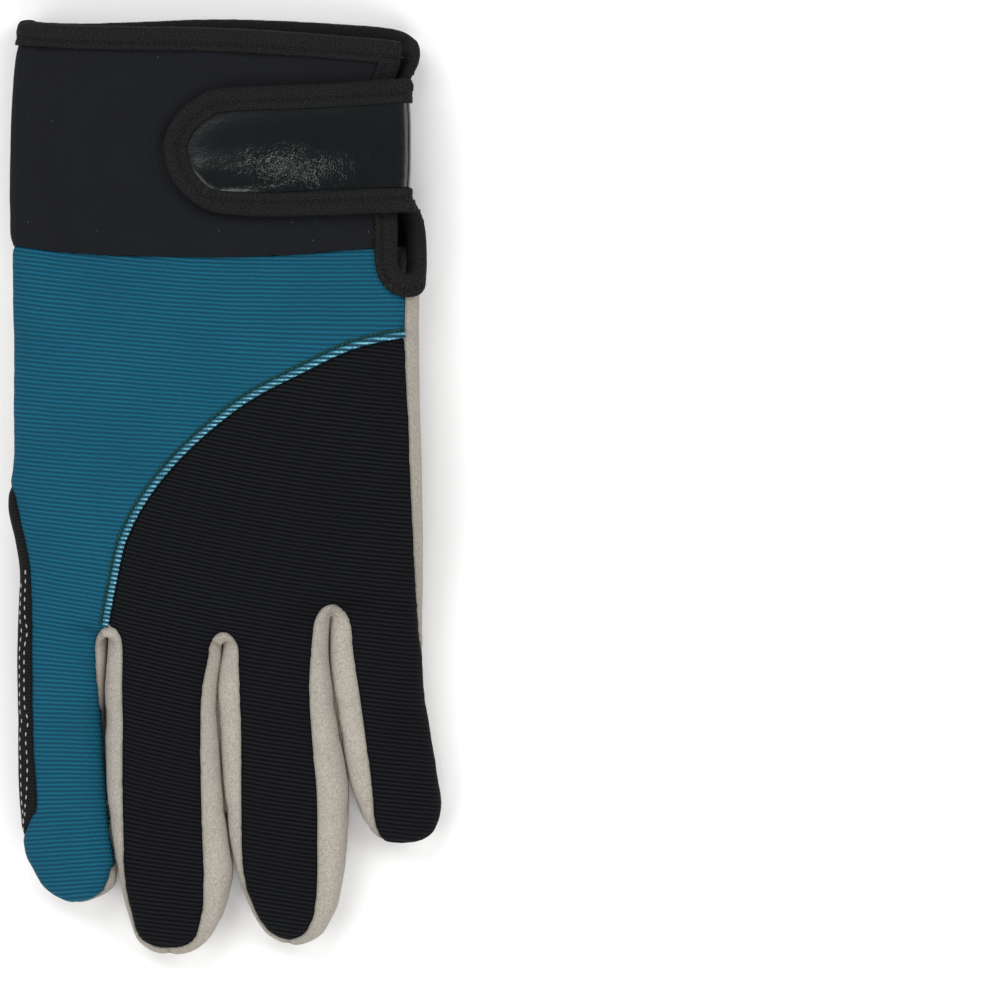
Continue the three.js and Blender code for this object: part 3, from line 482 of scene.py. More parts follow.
def arrays(mesh):
    """Points in millimetres and triangles of a mesh."""
    mesh.calc_loop_triangles()
    points = np.empty(len(mesh.vertices) * 3, np.float32)
    mesh.vertices.foreach_get("co", points)
    faces = np.empty(len(mesh.loop_triangles) * 3, np.int32)
    mesh.loop_triangles.foreach_get("vertices", faces)
    return points.reshape(-1, 3).astype(float) / MM, faces.reshape(-1, 3)


def outward(points, faces):
    """The same faces, turned so that the closed mesh has a positive volume."""
    a, b, c = (points[faces[:, k]] for k in range(3))
    if np.einsum("ij,ij->i", a, np.cross(b, c)).sum() < 0:
        return faces[:, ::-1]
    return faces


def unite(solids):
    """One closed skin around several closed meshes that run into each other."""
    objects = [link(f"solid_{k}", raw_mesh(f"solid_{k}", p, outward(p, f)))
               for k, (p, f) in enumerate(solids)]
    base = objects[0]
    for other in objects[1:]:
        cut = base.modifiers.new("join", "BOOLEAN")
        cut.operation, cut.solver, cut.object = "UNION", "MANIFOLD", other
    graph = bpy.context.evaluated_depsgraph_get()
    joined = bpy.data.meshes.new_from_object(base.evaluated_get(graph))
    points, faces = arrays(joined)
    for o in objects:
        mesh = o.data
        bpy.data.objects.remove(o)
        bpy.data.meshes.remove(mesh)
    bpy.data.meshes.remove(joined)
    return points, faces


def weld(points, faces, near):
    """The same mesh with points closer than near made one."""
    keys = np.round(points / near).astype(np.int64)
    _, first, back = np.unique(keys, axis=0, return_index=True, return_inverse=True)
    faces = back.reshape(-1)[faces]
    a, b, c = faces.T
    keep = (a != b) & (b != c) & (a != c)
    return points[first], faces[keep]


def sides_of(faces):
    """The three edges of every face, each in the face's direction."""
    return np.concatenate([faces[:, [0, 1]], faces[:, [1, 2]], faces[:, [2, 0]]])


def relax(points, faces, weight, rounds):
    """Evens the points out where weight is above 0."""
    edges = np.unique(np.sort(sides_of(faces), axis=1), axis=0)
    n = len(points)
    count = np.maximum(np.bincount(edges.ravel(), minlength=n), 1).astype(float)
    for _ in range(rounds):
        total = np.stack([np.bincount(edges[:, 0], column[edges[:, 1]], n)
                          + np.bincount(edges[:, 1], column[edges[:, 0]], n)
                          for column in points.T], 1)
        points = points + (total / count[:, None] - points) * weight[:, None]
    return points


def normals_of(points, faces):
    a, b, c = (points[faces[:, k]] for k in range(3))
    face = np.cross(b - a, c - a)
    out = np.zeros_like(points)
    for k in range(3):
        for axis in range(3):
            out[:, axis] += np.bincount(faces[:, k], face[:, axis], len(points))
    size = np.linalg.norm(out, axis=1)
    size[size == 0] = 1
    return out / size[:, None]


def split(points, faces, field, near=0.12):
    """Cuts a mesh along field = 0. Returns the faces where it is positive and those where it isn't,
    on one list of points whose rows may hold more than their place."""
    field = np.where(np.abs(field) < near, 0.0, field)
    side = np.sign(field)[faces]
    high, low = (side > 0).any(1), (side < 0).any(1)
    keep = list(faces[high & ~low])
    rest = list(faces[low & ~high]) + list(faces[~high & ~low])
    rows, cuts = [], {}

    def crossing(i, j):
        key = (min(i, j), max(i, j))
        if key not in cuts:
            t = field[key[0]] / (field[key[0]] - field[key[1]])
            cuts[key] = len(points) + len(rows)
            rows.append(points[key[0]] * (1 - t) + points[key[1]] * t)
        return cuts[key]
    for tri in faces[high & low]:
        ring = []
        for k in range(3):
            i, j = int(tri[k]), int(tri[(k + 1) % 3])
            ring.append((i, field[i]))
            if field[i] * field[j] < 0:
                ring.append((crossing(i, j), 0.0))
        for group, sign in ((keep, 1), (rest, -1)):
            part = [i for i, f in ring if f * sign >= 0]
            for k in range(1, len(part) - 1):
                group.append(np.array([part[0], part[k], part[k + 1]]))
    points = np.vstack([points] + rows) if rows else points
    return points, np.array(keep, int).reshape(-1, 3), np.array(rest, int).reshape(-1, 3)


def compact(points, faces):
    used, back = np.unique(faces, return_inverse=True)
    return points[used], back.reshape(-1, 3)


def rim_of(faces):
    """Directed edges that only one face has."""
    edges = sides_of(faces)
    low = edges.min(1).astype(np.int64)
    key = low * (faces.max() + 1) + edges.max(1)
    _, back, count = np.unique(key, return_inverse=True, return_counts=True)
    return edges[count[back.reshape(-1)] == 1]


def rim_loop(faces):
    """The points of the longest rim, in order."""
    following = dict(rim_of(faces).tolist())
    loops = []
    while following:
        start, at = following.popitem()
        loop = [start]
        while at in following:
            loop.append(at)
            at = following.pop(at)
        loops.append(loop)
    return max(loops, key=len)


def rim_distance(points, rim):
    """Distance from each point to the nearest point of the rim, and which one that is."""
    marks = np.unique(rim)
    tree = kdtree.KDTree(len(marks))
    for k, i in enumerate(marks):
        tree.insert(points[i], k)
    tree.balance()
    found = [tree.find(p) for p in points]
    return np.array([f[2] for f in found]), marks[[f[1] for f in found]]


def thicken(points, faces, normals, over, under):
    """Closed shell from a sheet, between two heights along its normals."""
    rim = rim_of(faces)
    n = len(points)
    a, b = rim[:, 0], rim[:, 1]
    walls = np.concatenate([np.stack([b, a, a + n], 1), np.stack([b, a + n, b + n], 1)])
    top = points + normals * np.reshape(over, (-1, 1))
    low = points + normals * np.reshape(under, (-1, 1))
    return np.vstack([top, low]), np.concatenate([faces, faces[:, ::-1] + n, walls])


def wavy(points, size, seed=0.0):
    """Smooth noise at each point, from -1 to 1."""
    return np.array([noise.noise(Vector((x / size + seed, y / size, z / size)))
                     for x, y, z in points])


def grounded(points):
    """The same points, none of them below the floor."""
    points[:, 2] = np.maximum(points[:, 2], LEAST_Z)
    return points


def spacing_of(fine):
    return fine


def piece(name, points, faces, finish, nodes, cloth, seam=NO_SEAM):
    """A finished piece: its mesh, its cloth coordinates, its distance to the seams and its
    finish. It rides on the root body and stands for the nodes."""
    if not np.isfinite(points).all():
        raise RuntimeError(f"{name} has points without a place")
    mesh = raw_mesh(name, points, faces)
    mesh.shade_smooth()
    mesh.set_sharp_from_angle(angle=SHARP_ANGLE)
    loops = np.empty(len(mesh.loops), np.int32)
    mesh.loops.foreach_get("vertex_index", loops)
    layer = mesh.uv_layers.new(name="cloth")
    layer.data.foreach_set("uv", np.asarray(cloth)[loops].astype(np.float32).ravel())
    mark = mesh.attributes.new("seam", "FLOAT", "POINT")
    mark.data.foreach_set("value", np.full(len(points), seam, np.float32))
    mesh.materials.append(FINISHES[finish])
    made = link(name, mesh)
    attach(made, "root")
    if nodes:
        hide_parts(*nodes)
    return made


# The hand's skin and its panels

SKIN = {}


def fade(distance, reach):
    """1 at a distance of 0, falling to nothing beyond the reach."""
    return np.exp(-(distance / reach) ** 2)


def relief(points):
    """Low folds and hollows of the worn-flat cloth."""
    x, y, z = points.T
    top = smoothstep(z - widest(y), 0, 4)
    out = (0.22 * wavy(points, 17.0, 3.1) + 0.10 * wavy(points, 7.0, 8.4)) * (0.35 + 0.65 * top)
    for fold_y, reach, depth, slope in FINGER_FOLDS:
        out -= (depth * fade(y - fold_y - slope * x, reach) * smoothstep(-y, 46, 52)
                * (0.15 + 0.85 * top))
    index_root = fade(y + 38.5 + 0.08 * (x + 42), 2.2) * smoothstep(-x, 34, 38)
    return out - 0.45 * index_root * top


def hand_skin():
    """The hand with its fingers as one fine closed skin: points, faces and normals."""
    if SKIN:
        return SKIN["points"], SKIN["faces"], SKIN["normals"]
    spacing = spacing_of(0.8)
    rings = [even_ring(*hand_ring(y), int(240 / spacing))
             for y in np.arange(68, KNUCKLE_Y - 0.01, -spacing)]
    solids = [loft(rings)]
    solids += [loft(finger_rings(finger, spacing, int(72 / spacing))) for finger in FINGERS]
    points, faces = weld(*unite(solids), 0.12)
    x, y = points[:, 0], points[:, 1]
    # The join at the finger roots is evened out. It keeps its height in the gaps between the
    # fingers, and its width at the silhouettes.
    near = 0.6 * fade(y - smooth(KNUCKLES, 1, x), 6.0)
    level = relax(points, faces, near, 40)[:, 2]
    apart = np.prod([smoothstep(np.abs(x - gap), 0.8, 3.5) for gap in GAPS_X], axis=0)
    calm = relax(points, faces, near * apart, 30)
    held = 0.8 * smoothstep(np.abs(x + 1.5), 40, 48)
    points = np.column_stack([held * x + (1 - held) * calm[:, 0], calm[:, 1],
                              apart * calm[:, 2] + (1 - apart) * level])
    points = grounded(relax(points, faces, np.full(len(points), 0.35), 2))
    points = grounded(points + normals_of(points, faces) * relief(points)[:, None])
    SKIN.update(points=points, faces=faces, normals=normals_of(points, faces))
    return SKIN["points"], SKIN["faces"], SKIN["normals"]


def under_teal(x, y):
    """Height of the teal back's lower edge on the index side and between the fingers."""
    inner = smoothstep(x, -42, -38) * smoothstep(-y, 46, 56)
    return (widest(y) - 1.3 + 5.3 * smoothstep(y, -34, -20) * smoothstep(x, -46, -30)
            + 2.2 * inner)


def under_black(y):
    """Height of the black back's lower edge."""
    return widest(y) + 0.4 * smoothstep(y, -44, -36)


def turned_room(part, limit):
    """Above 0 until one part of the normals falls below -limit."""
    return (part + limit) * 4


def cut_panels():
    """Each panel of the hand as points with normals, and faces."""
    points, faces, normals = hand_skin()
    rows = np.hstack([points, normals])
    panels = {}

    def take(name, faces, limits):
        """Takes the faces for a panel where every limit is above 0, and leaves the others."""
        nonlocal rows
        rows, panels[name], rest = split(rows, faces, np.min(limits(rows), axis=0))
        return rest
    teal, black = teal_outline(), black_outline()

    def teal_limits(r):
        index_inner = (r[:, 0] > -35) & (r[:, 1] < -46)
        return [side_distance(r, teal), r[:, 2] - under_teal(r[:, 0], r[:, 1]),
                turned_room(r[:, 5], 0.6),
                np.where(index_inner, turned_room(r[:, 3], 0.25), FAR)]

    def black_limits(r):
        return [side_distance(r, black), r[:, 2] - under_black(r[:, 1]),
                turned_room(r[:, 5], 0.6)]
    rest = take("teal", faces, teal_limits)
    rest = take("black", rest, black_limits)
    for k in range(3):
        left, right = FINGERS[k]["seam_tip"][0], FINGERS[k + 1]["seam_tip"][0]
        top = CROTCHES[k][1] + STRIP_TOP

        def strip_limits(r):
            rise = smoothstep(r[:, 1], STRIP_BEND_Y - 1.5, STRIP_BEND_Y + 1.5)
            return [r[:, 0] - left, right - r[:, 0], top - r[:, 1],
                    r[:, 2] - (STRIP_LOW + STRIP_RISE * rise)]
        rest = take(f"strip_{k}", rest, strip_limits)
    guard = ([(-OUTSIDE, GUARD_EDGE[-1][1])] + GUARD_INNER + [(-OUTSIDE, GUARD_EDGE[0][1])])
    rest = take("guard", rest, lambda r: [side_distance(r, guard), r[:, 2] - GUARD_LOW])
    edge = np.array([(-OUTSIDE, PAST_TIPS), (OUTSIDE, PAST_TIPS), (OUTSIDE, CUFF_SEAM[-1, 1])]
                    + CUFF_LINE[::-1] + [(-OUTSIDE, CUFF_SEAM[0, 1])])
    take("palm", rest, lambda r: [side_distance(r, edge)])
    for name in ("teal", "palm"):
        near = (rows[:, 0] > 25) & (rows[:, 1] > 44)
        room = np.full(len(rows), FAR)
        room[near] = open_side(nearest_s(rows[near]), rows[near, 1])
        rows, panels[name], _ = split(rows, panels[name], room)
    return rows, panels


def cloth_map(points, fall=0.0):
    """Where each point lies on its cloth: ribs run across the second value."""
    x, y, z = points.T
    return np.stack([x + 0.25 * z, y + fall], 1)


def teal_map(points):
    x, y, _ = points.T
    from_left = x + 43
    fall = smooth(TEAL_FALL, 1, y) * from_left - smooth(TEAL_FALL, 2, y) * from_left ** 2 / 2
    return cloth_map(points, fall + 0.12 * np.sin(x / 9.0 + y / 23.0))


def black_map(points):
    x, y, _ = points.T
    fall = 0.20 * x - 0.0012 * x * x
    fall -= 0.12 * smoothstep(-y, 70, 105) * (x + 15) * smoothstep(-x, -2, 2)
    return cloth_map(points, fall + 0.12 * np.sin(x / 11.0 + y / 17.0))


def sew_panel(name, rows, faces, finish, node, wall, depth=0.4, lay=cloth_map):
    """One panel, drawn in along its seams with small puckers, as a closed shell."""
    rows, faces = compact(rows, faces)
    points, normals = rows[:, :3], rows[:, 3:6]
    normals = normals / np.maximum(np.linalg.norm(normals, axis=1), 0.01)[:, None]
    distance, nearest = rim_distance(points, rim_of(faces))
    pucker = wavy(points[nearest], 2.6, 5.0) * 0.16 * fade(distance, 3.2)
    over = pucker - depth * fade(distance, 1.1)
    shell, shell_faces = thicken(points, faces, normals, over, over - wall)
    piece(name, shell, shell_faces, finish, [node], np.tile(lay(points), (2, 1)),
          np.tile(distance, 2))


# Surfaces unrolled: s runs round each section, y along the glove

class Unrolled:
    """A surface swept along Y, addressed by its run s round each section and by y. Above 2,
    corner keeps what lies over a bend from rounding it."""

    def __init__(self, levels, reach, section, corner=2.0):
        self.levels, self.reach, self.corner = levels, reach, corner
        self.table = np.array([section(float(y), reach) for y in levels])

    def at(self, s, y, out=0.0):
        """Place at s and y, lifted off the surface by out."""
        s, y, out = np.broadcast_arrays(*(np.asarray(v, float) for v in (s, y, out)))

        def cell(at, keys):
            place = np.clip((at - keys[0]) / (keys[1] - keys[0]), 0, len(keys) - 1.001)
            return place.astype(int), (place - place.astype(int))[..., None]
        (i, u), (j, v) = cell(y, self.levels), cell(s, self.reach)
        t = self.table
        got = (t[i, j] * (1 - u) * (1 - v) + t[i + 1, j] * u * (1 - v)
               + t[i, j + 1] * (1 - u) * v + t[i + 1, j + 1] * u * v)
        x, z, up_x, up_z = np.moveaxis(got, -1, 0)
        size = (np.abs(up_x) ** self.corner + np.abs(up_z) ** self.corner) ** (1 / self.corner)
        return np.stack([x + up_x / size * out, y, z + up_z / size * out], -1)

    def up(self, s, y):
        """Outward direction at s and y."""
        return self.at(s, y, 1.0) - self.at(s, y)

    def row_of(self, y):
        """Row of the level nearest to y."""
        return np.clip(np.round(y - self.levels[0]), 0, len(self.levels) - 1).astype(int)

    def s_of(self, x, y, part, way):
        """Run at which the surface has a given x. part marks the runs to look at, and way is -1
        where x falls along them."""
        xs = self.table[self.row_of(y), part, 0]
        return float(np.interp(way * x, way * xs, self.reach[part]))


def run_section(line, reach, is_closed):
    """x, z and the outward direction at each run along a section with the cloth on its left."""
    if is_closed:
        line = closed(line)
    run = run_of(line)

    def place(at):
        return along(np.mod(at, run[-1]) if is_closed else at, run, line)
    ahead = unit(place(reach + 0.5) - place(reach - 0.5))
    return np.hstack([place(reach), ahead[:, 1:], -ahead[:, :1]])


def cuff_section(y):
    x, _, z = hand_ring(y, CUFF_PROUD)
    return np.stack([x, z], 1)


def measure_cuff():
    """Run from the right edge to the left one and all the way round, at each level."""
    rows = []
    for y in CUFF_LEVELS:
        line = cuff_section(float(y))
        run = run_of(closed(line))
        rows.append((run[int(np.argmin(line[:, 0]))], run[-1]))
    return np.array(rows)


CUFF_LEVELS = np.arange(44.0, 131.0, 1.0)
CUFF = Unrolled(CUFF_LEVELS, np.arange(-130.0, 170.1, 0.5),
                lambda y, reach: run_section(cuff_section(y), reach, True))
CUFF_RUNS = measure_cuff()
PALM_EDGE_S = 4.3
CUFF_START_S = 5.2


def left_s(y, below=False):
    """Unrolled place of the cuff's left edge, met over the back or under the palm."""
    to_left, round_all = (float(np.interp(y, CUFF_LEVELS, runs)) for runs in CUFF_RUNS.T)
    return to_left - round_all if below else to_left


def cuff_s(x, y, below=False):
    """Unrolled place of a given x on the cuff's back, or on its underside."""
    if below:
        return CUFF.s_of(x, y, (CUFF.reach <= 0) & (CUFF.reach >= left_s(y, True)), 1)
    return CUFF.s_of(x, y, (CUFF.reach >= 0) & (CUFF.reach <= left_s(y)), -1)


def nearest_s(points):
    """Unrolled place of points that lie near the cuff's right side."""
    part = np.abs(CUFF.reach) < 40
    line = CUFF.table[CUFF.row_of(points[:, 1])][:, part, :2]
    gap = (line[..., 0] - points[:, None, 0]) ** 2 + (line[..., 1] - points[:, None, 2]) ** 2
    return CUFF.reach[part][gap.argmin(1)]


def cuff_edges():
    """The cuff's free edge in unrolled coordinates, in three stretches: along the palm's top and
    round its corner, down the slit and round its keyhole end, and along the back's top."""
    palm = [(left_s(CUFF_TOP_LEFT_Y, True), CUFF_TOP_LEFT_Y)]
    for x in np.linspace(-50, 36, 45):
        y = float(smooth(CUFF_TOP_PALM, 1, x))
        palm.append((cuff_s(x, y, True), y))
    corner = [palm[-1], (-7, 118.4), (-2.6, 116.4), (1.4, 112.6), (3.6, 108), (PALM_EDGE_S, 102)]
    palm += list(map(tuple, spline(corner)[1:]))
    slit = [(PALM_EDGE_S, y) for y in np.linspace(101, 60, 22)]
    far = cuff_s(float(smooth(SLIT, 1, 59)), 59)
    middle, half = (far + PALM_EDGE_S) / 2, (far - PALM_EDGE_S) / 2
    slit += [(middle - half * math.cos(a), 59.3 - 4.6 * math.sin(a))
             for a in np.linspace(0.0, math.pi, 25)]
    slit += [(cuff_s(float(smooth(SLIT, 1, y)), y), y) for y in np.linspace(61, 113, 28)]
    back = []
    for x in np.linspace(45.4, -53, 60):
        y = float(smooth(CUFF_TOP_BACK, 1, x))
        back.append((cuff_s(x, y), y))
    back.append((left_s(CUFF_TOP_LEFT_Y), CUFF_TOP_LEFT_Y))
    return np.array(palm), np.array(slit), np.array(back)


PALM_TOP, SLIT_LINE, BACK_TOP = cuff_edges()


def open_side(s, y):
    """Distance into the cloth from the cuff's free edges, below 0 beyond them."""
    beyond = np.vstack([PALM_TOP, SLIT_LINE, BACK_TOP, [(200.0, 121.0), (200.0, 160.0),
                                                        (-200.0, 160.0), (-200.0, 121.0)]])
    return -side_distance(np.stack([s, y], 1), beyond)


def inward_of(path):
    """Direction into the cloth all along an edge."""
    ahead = unit(np.gradient(path, axis=0))
    return np.stack([ahead[:, 1], -ahead[:, 0]], 1)


def swept(path, profile, surface):
    """Closed mesh of a profile carried along an edge of an unrolled surface, with its cloth
    coordinates. profile holds the distance into the cloth and the lift off it."""
    path = even_line(path, spacing_of(0.45))
    rings = []
    for p, n in zip(path, inward_of(path)):
        place = p + n * profile[:, :1]
        rings.append(surface.at(place[:, 0], place[:, 1], profile[:, 1]))
    points, faces = loft(rings)
    across, run = run_of(profile), run_of(path)
    cloth = np.stack([np.tile(across, len(path)), np.repeat(run, len(across))], 1)
    return points, outward(points, faces), np.vstack([cloth, [(0, 0), (0, run[-1])]])


def tape_profile(width, cloth, high, stitch):
    """Section of a folded tape round an edge: over, round the edge, and under."""
    side = [(width, 0.0), (width, high - 0.25), (width - 0.2, high), (width - 0.9, high + 0.1),
            (stitch + 0.7, high + 0.02), (stitch, high - 0.3), (stitch - 0.7, high + 0.1),
            (stitch - 1.4, high + 0.28), (stitch - 2.2, high + 0.34), (0.4, high + 0.2)]
    arc = [(-0.95 * math.cos(a), -cloth / 2 + (cloth / 2 + high) * math.sin(a))
           for a in np.linspace(math.radians(70), math.radians(-70), 9)]
    under = [(d, -cloth - lift) for d, lift in reversed(side)]
    return np.array(side + arc + under)


# Finishes

class Tree:
    """Builds a node tree one node at a time; sockets and numbers both go in as inputs."""

    def __init__(self, tree):
        self.tree = tree

    def add(self, kind, inputs=(), **settings):
        node = self.tree.nodes.new(kind)
        for name, value in settings.items():
            setattr(node, name, value)
        for key, value in dict(inputs).items():
            self.put(node.inputs[key], value)
        return node

    def put(self, socket, value):
        if isinstance(value, bpy.types.NodeSocket):
            self.tree.links.new(value, socket)
        else:
            socket.default_value = value

    def math(self, operation, *values):
        node = self.add("ShaderNodeMath", operation=operation)
        for socket, value in zip(node.inputs, values):
            self.put(socket, value)
        return node.outputs[0]

    def times(self, first, second):
        return self.math("MULTIPLY", first, second)

    def plus(self, first, second):
        return self.math("ADD", first, second)

    def less(self, first, second):
        return self.math("SUBTRACT", first, second)

    def blend(self, part, first, second):
        node = self.add("ShaderNodeMix", data_type="RGBA")
        for key, value in (("Factor_Float", part), ("A_Color", first), ("B_Color", second)):
            self.put(next(s for s in node.inputs if s.identifier == key), value)
        return next(s for s in node.outputs if s.identifier == "Result_Color")

    def steps(self, value, low, high, to_low=0.0, to_high=1.0):
        node = self.add("ShaderNodeMapRange", {"Value": value, "From Min": low, "From Max": high,
                                               "To Min": to_low, "To Max": to_high},
                        interpolation_type="SMOOTHSTEP")
        return node.outputs["Result"]

    def noise(self, vector, scale, detail=2.0, rough=0.5):
        return self.add("ShaderNodeTexNoise", {"Vector": vector, "Scale": scale, "Detail": detail,
                                               "Roughness": rough}).outputs["Fac"]


def group(name, inputs, outputs, build):
    """A shader node group with named sockets. build takes the tree and its inputs and returns
    what goes to the outputs."""
    made = bpy.data.node_groups.new(name, "ShaderNodeTree")
    for key, kind, value in inputs:
        socket = made.interface.new_socket(name=key, in_out="INPUT", socket_type=kind)
        if value is not None:
            socket.default_value = value
    for key in outputs:
        made.interface.new_socket(name=key, in_out="OUTPUT", socket_type=FLOAT)
    tree = Tree(made)
    tree.add("NodeGroupOutput", build(tree, tree.add("NodeGroupInput").outputs))
    return made


FLOAT, VECTOR, GEOMETRY = "NodeSocketFloat", "NodeSocketVector", "NodeSocketGeometry"


def knit_group():
    """Ribs that run across the second cloth coordinate, each a row of yarn loops."""
    def build(tree, given):
        def swell(turns):
            wave = tree.math("COSINE", tree.times(turns, 2 * math.pi))
            return tree.math("MULTIPLY_ADD", wave, 0.5, 0.5)
        cloth = given["Cloth"]
        across = tree.add("ShaderNodeSeparateXYZ", {0: cloth}).outputs
        drift = tree.less(tree.noise(cloth, 0.11, 2.0), 0.5)
        drift = tree.times(drift, given["Drift"])
        row = tree.math("DIVIDE", tree.plus(across["Y"], drift), given["Pitch"])
        rib = tree.math("POWER", swell(row), given["Round"])
        turn = tree.math("FLOOR", tree.plus(row, 0.5))
        turn = tree.times(turn, 0.5)
        loop = swell(tree.plus(tree.math("DIVIDE", across["X"], given["Loop"]), turn))
        height = tree.times(rib, tree.math("MULTIPLY_ADD", loop, 0.28, 0.72))
        fuzz = tree.noise(cloth, 5.5, 3.0, 0.65)
        rough = tree.times(tree.less(fuzz, 0.5), 0.35)
        return {"Height": tree.plus(height, rough), "Loops": loop, "Fuzz": fuzz,
                "Groove": tree.less(1.0, rib)}
    return group("Rib knit", [("Cloth", VECTOR, None), ("Pitch", FLOAT, 1.2),
                              ("Loop", FLOAT, 0.75), ("Drift", FLOAT, 1.0),
                              ("Round", FLOAT, 0.7)],
                 ("Height", "Groove", "Loops", "Fuzz"), build)


def suede_group():
    """Short nap: fine fibres in clumps, with little mottling."""
    def build(tree, given):
        cloth = given["Cloth"]
        blotch = tree.times(tree.noise(cloth, 0.12, 2.0, 0.5), 0.06)
        clump = tree.noise(cloth, 1.5, 3.0, 0.65)
        nap = tree.noise(cloth, 2.6, 4.0, 0.8)
        tone = tree.plus(blotch, tree.times(clump, 0.3))
        tone = tree.plus(tone, tree.times(nap, 0.64))
        height = tree.plus(tree.times(nap, 0.6), tree.times(clump, 0.6))
        return {"Tone": tone, "Height": height}
    return group("Suede nap", [("Cloth", VECTOR, None)], ("Tone", "Height"), build)


def seam_group():
    """Painted shade along a panel's seams, from the distance to them in millimetres: a ragged band,
    and a darker crease at the seam itself.
    """
    def build(tree, given):
        seam = given["Seam"]
        ragged = tree.times(tree.noise(given["Cloth"], 0.7, 2.0), 1.2)
        # Painted shade: a ragged band along the seam, and a darker crease within 0.8 mm of it.
        near = tree.steps(tree.less(seam, ragged), 0.0, given["Reach"], 1.0, 0.0)
        return {"Near": near, "Crease": tree.steps(seam, 0.0, 0.8, 1.0, 0.0)}
    return group("Seam shade", [("Seam", FLOAT, 50.0), ("Reach", FLOAT, 3.0),
                                ("Cloth", VECTOR, None)], ("Near", "Crease"), build)


def lint_group():
    """A few pale specks caught in dark cloth."""
    def build(tree, given):
        spots = tree.add("ShaderNodeTexVoronoi", {"Vector": given["Cloth"], "Scale": 0.42,
                                                  "Randomness": 1.0}, feature="F1").outputs
        speck = tree.steps(spots["Distance"], 0.03, 0.085, 1.0, 0.0)
        red = tree.add("ShaderNodeSeparateColor", {0: spots["Color"]}).outputs[0]
        return {"Speck": tree.times(speck, tree.steps(red, 0.80, 0.86))}
    return group("Lint", [("Cloth", VECTOR, None)], ("Speck",), build)


def grain_group():
    """Pebbled grain of glossy sheet inside an oval field, with a faint grain all over."""
    def build(tree, given):
        def place(operation, first, second):
            return tree.add("ShaderNodeVectorMath", {0: first, 1: second},
                            operation=operation).outputs[0]
        cloth = given["Cloth"]
        off = place("DIVIDE", place("SUBTRACT", cloth, given["Centre"]), given["Reach"])
        away = tree.add("ShaderNodeVectorMath", {0: off}, operation="LENGTH").outputs["Value"]
        ragged = tree.times(tree.noise(cloth, 0.16, 2.0, 0.5), 0.8)
        field = tree.steps(tree.plus(away, ragged), 0.2, 1.6, 1.0, 0.0)
        pebble = tree.add("ShaderNodeTexVoronoi", {"Vector": cloth, "Scale": 2.3},
                          feature="SMOOTH_F1").outputs["Distance"]
        crumple = tree.times(tree.noise(cloth, 0.6, 2.0, 0.6), 1.8)
        grain = tree.plus(tree.times(pebble, 0.6), crumple)
        faint = tree.math("MULTIPLY_ADD", field, 0.93, 0.07)
        return {"Field": field, "Height": tree.times(grain, faint)}
    return group("Crumpled grain", [("Cloth", VECTOR, None), ("Centre", VECTOR, None),
                                    ("Reach", VECTOR, None)], ("Field", "Height"), build)


class Finish:
    """One material and the sockets that its recipe works on."""

    def __init__(self, name, roughness, specular):
        self.material = bpy.data.materials.new(name)
        self.material.use_nodes = True
        self.tree = Tree(self.material.node_tree)
        self.shader = self.material.node_tree.nodes["Principled BSDF"]
        self.tree.put(self.shader.inputs["Roughness"], roughness)
        self.tree.put(self.shader.inputs["Specular IOR Level"], specular)

    def use(self, key, inputs):
        made = self.tree.add("ShaderNodeGroup")
        made.node_tree = GROUPS[key]
        for name, value in inputs.items():
            self.tree.put(made.inputs[name], value)
        return made.outputs

    def cloth(self):
        return self.tree.add("ShaderNodeUVMap", uv_map="cloth").outputs["UV"]

    def solid(self):
        """Place in the glove in millimetres."""
        place = self.tree.add("ShaderNodeTexCoord").outputs["Object"]
        return self.tree.add("ShaderNodeVectorMath", {0: place, "Scale": 1 / MM},
                             operation="SCALE").outputs[0]

    def seam(self):
        return self.tree.add("ShaderNodeAttribute", attribute_name="seam").outputs["Fac"]

    def colour(self, value):
        self.tree.put(self.shader.inputs["Base Color"], value)

    def mix(self, base, part, second, amount=1.0):
        """base with some of a second colour where part is above 0."""
        if amount != 1.0:
            part = self.tree.times(part, amount)
        return self.tree.blend(part, base, second)

    def bump(self, height, millimetres):
        node = self.tree.add("ShaderNodeBump", {"Height": height, "Distance": millimetres * MM,
                                                "Strength": 1.0})
        self.tree.put(self.shader.inputs["Normal"], node.outputs["Normal"])


GROUPS = {}
FINISHES = {}


def tint(colour, part):
    return tuple(min(c * part, 1.0) for c in colour[:3]) + (1.0,)


def knit_finish(name, colour, pitch, dark, light, relief_mm=0.3, loops=0.3, rounding=1.0):
    """Ribbed knit: painted shade in the grooves, painted highlight on the crowns built of loops,
    painted sheen on the fuzz, painted shade along the seams.
    """
    finish = Finish(name, 0.8, 0.08)
    tree, cloth = finish.tree, finish.cloth()
    knit = finish.use("knit", {"Cloth": cloth, "Pitch": pitch, "Loop": 0.58, "Drift": 0.5,
                               "Round": rounding})
    seam = finish.use("seam", {"Seam": finish.seam(), "Cloth": cloth, "Reach": 3.0})
    worn = tree.steps(tree.noise(cloth, 0.045, 3.0, 0.55), 0.3, 0.7, 0.0, 0.25)
    fuzz = tree.steps(knit["Fuzz"], 0.5, 0.8, 0.0, 0.3)
    # Painted shade in the grooves and painted highlight on the crowns.
    base = tree.blend(knit["Groove"], tint(colour, light), tint(colour, dark))
    base = finish.mix(base, knit["Loops"], tint(colour, dark), loops)
    base = finish.mix(base, worn, tint(colour, 0.6))
    # Painted sheen: the fuzz is tinted lighter.
    base = finish.mix(base, fuzz, tint(colour, light * 1.6))
    # Painted shade in the seam's crease.
    finish.colour(finish.mix(base, seam["Crease"], tint(colour, 0.3), 0.6))
    finish.bump(knit["Height"], relief_mm)
    return finish.material


